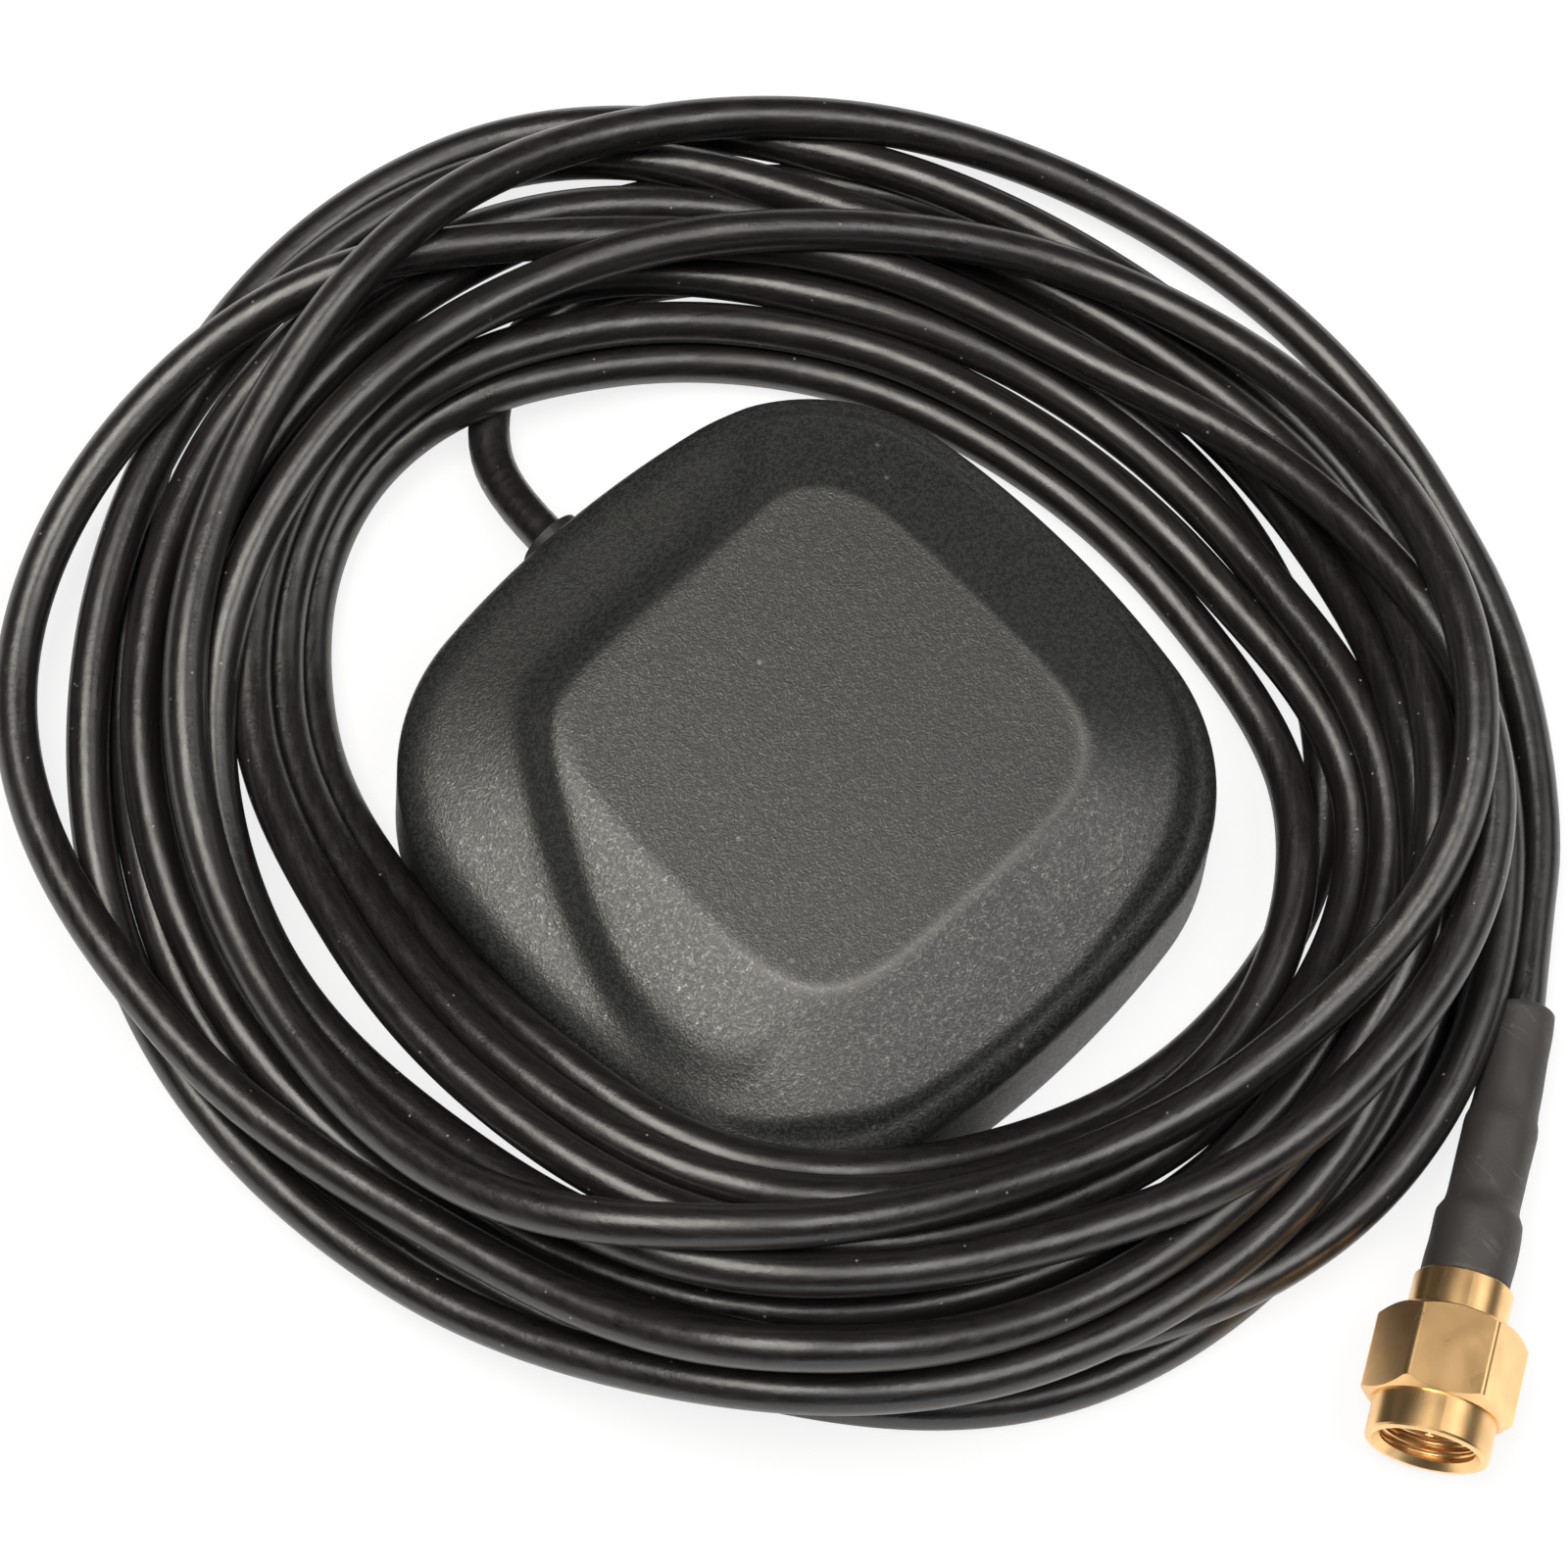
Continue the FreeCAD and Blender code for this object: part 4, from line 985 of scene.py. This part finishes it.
class ANTENNA_OT_lead_entry(bpy.types.Operator):
    """Finish the grommet and the stripped ends of the lead"""
    bl_idname = "antenna.lead_entry"
    bl_label = "Lead entry"

    def execute(self, context):
        dress_moulded(("grommet_rubber", (0.02, 0.02, 0.02), 0.55, ["cable_grommet"]))
        dress(braid_finish(), "lead_braid_end", "plug_braid_end")
        dress_moulded(
            ("insulation_clear", (0.72, 0.7, 0.66), 0.35, ["lead_insulation", "plug_insulation"]),
            ("wire_copper", (0.78, 0.42, 0.26), 0.26, ["lead_wire", "plug_wire"], METAL))
        return {"FINISHED"}


class ANTENNA_OT_cord(bpy.types.Operator):
    """Lay the lead in its loose turns from the puck to the plug"""
    bl_idname = "antenna.cord"
    bl_label = "Lead"

    def execute(self, context):
        settings = context.scene.antenna_cord
        cord = make_cord(settings)
        nodes = frame["record"]["physics"]["cord_nodes"]
        carried = [name for name in nodes if name not in ("cord_lead", "cord_coil", "cord_tail")]
        carried = [frame["nodes"][name] for name in carried]
        return {"FINISHED"}


class ANTENNA_OT_plug(bpy.types.Operator):
    """Finish the plug's gold parts, its insulator and seal, and make its thread and sleeve"""
    bl_idname = "antenna.plug"
    bl_label = "Plug"

    def execute(self, context):
        settings = context.scene.antenna_plug
        gold = gold_finish(settings)
        dress(gold, "coupling_nut", "connector_body", "centre_pin")
        dress_moulded(
            ("ferrule_nickel", (0.6, 0.57, 0.5), 0.3, ["crimp_ferrule"], METAL),
            ("ring_bronze", (0.7, 0.5, 0.28), 0.3, ["retaining_ring"], METAL),
            ("insulator_white", (0.78, 0.76, 0.72), 0.4, ["connector_insulator"]),
            ("seal_silicone", (0.35, 0.06, 0.03), 0.5, ["interface_gasket"]))
        make_thread(settings, gold)
        make_sleeve(settings)
        return {"FINISHED"}


class ANTENNA_OT_stage(bpy.types.Operator):
    """Set the floor, the lamps, the pale surroundings and the camera"""
    bl_idname = "antenna.stage"
    bl_label = "Stage"

    def execute(self, context):
        settings = context.scene.antenna_stage
        make_floor(settings)
        make_world(settings)
        make_lamps(settings)
        make_camera(settings)
        context.scene.view_settings.view_transform = "Standard"
        return {"FINISHED"}


class ANTENNA_PT_parts(bpy.types.Panel):
    """Lists the antenna's pieces and their settings"""
    bl_idname = "ANTENNA_PT_parts"
    bl_label = "Patch antenna"
    bl_space_type = "VIEW_3D"
    bl_region_type = "UI"
    bl_category = "Antenna"

    def draw(self, context):
        layout = self.layout
        for operator in OPERATORS:
            layout.operator(operator.bl_idname)
        for name, group in SETTINGS.items():
            box = layout.box()
            box.label(text=group.__doc__)
            for title in group.__annotations__:
                box.prop(getattr(context.scene, name), title)


OPERATORS = [ANTENNA_OT_cover, ANTENNA_OT_underside, ANTENNA_OT_electronics, ANTENNA_OT_lead_entry,
             ANTENNA_OT_plug, ANTENNA_OT_cord, ANTENNA_OT_stage]


# Stage

def make_floor(settings):
    """A wide pale floor that the camera sees almost white, with a soft shadow."""
    corners = [(-FLOOR_HALF, -FLOOR_HALF, 0), (FLOOR_HALF, -FLOOR_HALF, 0), (FLOOR_HALF, FLOOR_HALF, 0),
               (-FLOOR_HALF, FLOOR_HALF, 0)]
    floor = mesh_object("floor", corners, [(0, 1, 2, 3)], smooth=False)
    if floor.data.polygons[0].normal.z < 0:
        floor.data.flip_normals()
    material, tree, shader, place = blank_finish("floor_paper")
    fibres = ranged(tree, noise(tree, place, 900.0), 0.4, 0.6, 0.0, 0.25)
    tree.links.new(varied(tree, fibres, settings.floor, 1.0, 0.985), shader.inputs["Base Color"])
    shader.inputs["Roughness"].default_value = 0.9
    shader.inputs["Specular IOR Level"].default_value = 0.1
    glow = node(tree, "ShaderNodeEmission", {"Color": WHITE, "Strength": 1.0})
    ray = tree.nodes.new("ShaderNodeLightPath").outputs
    seen = times(tree, ray["Is Camera Ray"], FLOOR_GLOW)
    blend = node(tree, "ShaderNodeMixShader", {0: seen, 1: shader.outputs[0], 2: glow.outputs[0]})
    tree.links.new(blend.outputs[0], tree.nodes["Material Output"].inputs["Surface"])
    floor.data.materials.append(material)


def make_world(settings):
    """Soft surroundings: white to the camera, and pale only near the horizon to a reflection."""
    world = bpy.data.worlds.new("surroundings")
    bpy.context.scene.world = world
    world.use_nodes = True
    tree = world.node_tree
    ground = tree.nodes["Background"]
    ground.inputs["Color"].default_value = (0.98, 0.98, 1.0, 1.0)
    ground.inputs["Strength"].default_value = settings.ambient
    place = tree.nodes.new("ShaderNodeTexCoord").outputs["Generated"]
    rise = node(tree, "ShaderNodeSeparateXYZ", {"Vector": place}).outputs[2]
    glow = ranged(tree, rise, 0.02, 0.22, 0.4, 0.03)
    mirrored = node(tree, "ShaderNodeBackground", {"Color": (1.0, 0.97, 0.93, 1.0), "Strength": glow})
    white = node(tree, "ShaderNodeBackground", {"Color": WHITE, "Strength": 1.0})
    ray = tree.nodes.new("ShaderNodeLightPath").outputs
    seen = maths(tree, "MAXIMUM", ray["Is Camera Ray"], ray["Is Transmission Ray"])
    blend = ground
    for share, other in ((ray["Is Glossy Ray"], mirrored), (seen, white)):
        blend = node(tree, "ShaderNodeMixShader", {0: share, 1: blend.outputs[0], 2: other.outputs[0]})
    tree.links.new(blend.outputs[0], tree.nodes["World Output"].inputs["Surface"])


def view_axes(settings):
    """The picture's right, up and back directions."""
    a, e, roll = settings.azimuth, settings.elevation, settings.roll
    back = Vector((math.sin(a) * math.cos(e), -math.cos(a) * math.cos(e), math.sin(e)))
    right = Vector((math.cos(a), math.sin(a), 0.0))
    up = back.cross(right)
    return (right * math.cos(roll) + up * math.sin(roll), up * math.cos(roll) - right * math.sin(roll), back)


def lamp(name, settings, where, size, power, colour):
    """A square lamp placed by the picture's right, up and back, aimed at the puck."""
    right, up, back = view_axes(settings)
    data = bpy.data.lights.new(name, "AREA")
    data.shape = "RECTANGLE"
    data.size, data.size_y = size
    data.energy = power
    data.color = colour
    made = placed(name, data)
    made.location = right * where[0] + up * where[1] + back * where[2]
    made.rotation_mode = "QUATERNION"
    made.rotation_quaternion = made.location.to_track_quat("Z", "Y")


def make_lamps(settings):
    """A broad soft lamp from the camera's line upwards, weaker ones at its right and a cool one below."""
    fill = settings.fill
    lamp("key_lamp", settings, (-0.17, 0.23, 0.64), (0.42, 0.38), settings.key, (1.0, 0.96, 0.9))
    lamp("side_lamp", settings, (0.32, 0.15, 0.6), (0.34, 0.34), fill, (1.0, 0.97, 0.94))
    lamp("right_lamp", settings, (0.5, 0.28, 0.32), (0.25, 0.25), fill * RIGHT_SHARE, (1.0, 0.98, 0.95))
    lamp("low_lamp", settings, (0.1, -0.55, 0.3), (0.4, 0.12), fill * LOW_SHARE, (0.85, 0.92, 1.0))


def make_camera(settings):
    """The camera at the picture's angle."""
    data = bpy.data.cameras.new("camera")
    data.sensor_width = 36.0
    data.lens = CAMERA_LENS
    data.clip_start, data.clip_end = 0.01, 10.0
    camera = placed("camera", data)
    axes = view_axes(settings)
    turn = Matrix(axes).transposed().to_4x4()
    turn.translation = CAMERA_TARGET + axes[2] * settings.distance
    camera.matrix_world = turn
    bpy.context.scene.camera = camera


# Registration

def register():
    """Add the settings, operators and panel."""
    for group in SETTINGS.values():
        bpy.utils.register_class(group)
    for name, group in SETTINGS.items():
        setattr(bpy.types.Scene, name, PointerProperty(type=group))
    for operator in OPERATORS:
        bpy.utils.register_class(operator)
    bpy.utils.register_class(ANTENNA_PT_parts)


def unregister():
    """Take them out again."""
    bpy.utils.unregister_class(ANTENNA_PT_parts)
    for operator in reversed(OPERATORS):
        bpy.utils.unregister_class(operator)
    for name, group in reversed(SETTINGS.items()):
        delattr(bpy.types.Scene, name)
        bpy.utils.unregister_class(group)


def main():
    """Make every piece in order."""
    register()
    bpy.ops.antenna.cover()
    bpy.ops.antenna.underside()
    bpy.ops.antenna.electronics()
    bpy.ops.antenna.lead_entry()
    bpy.ops.antenna.plug()
    bpy.ops.antenna.cord()
    bpy.ops.antenna.stage()


if __name__ == "__main__":
    main()
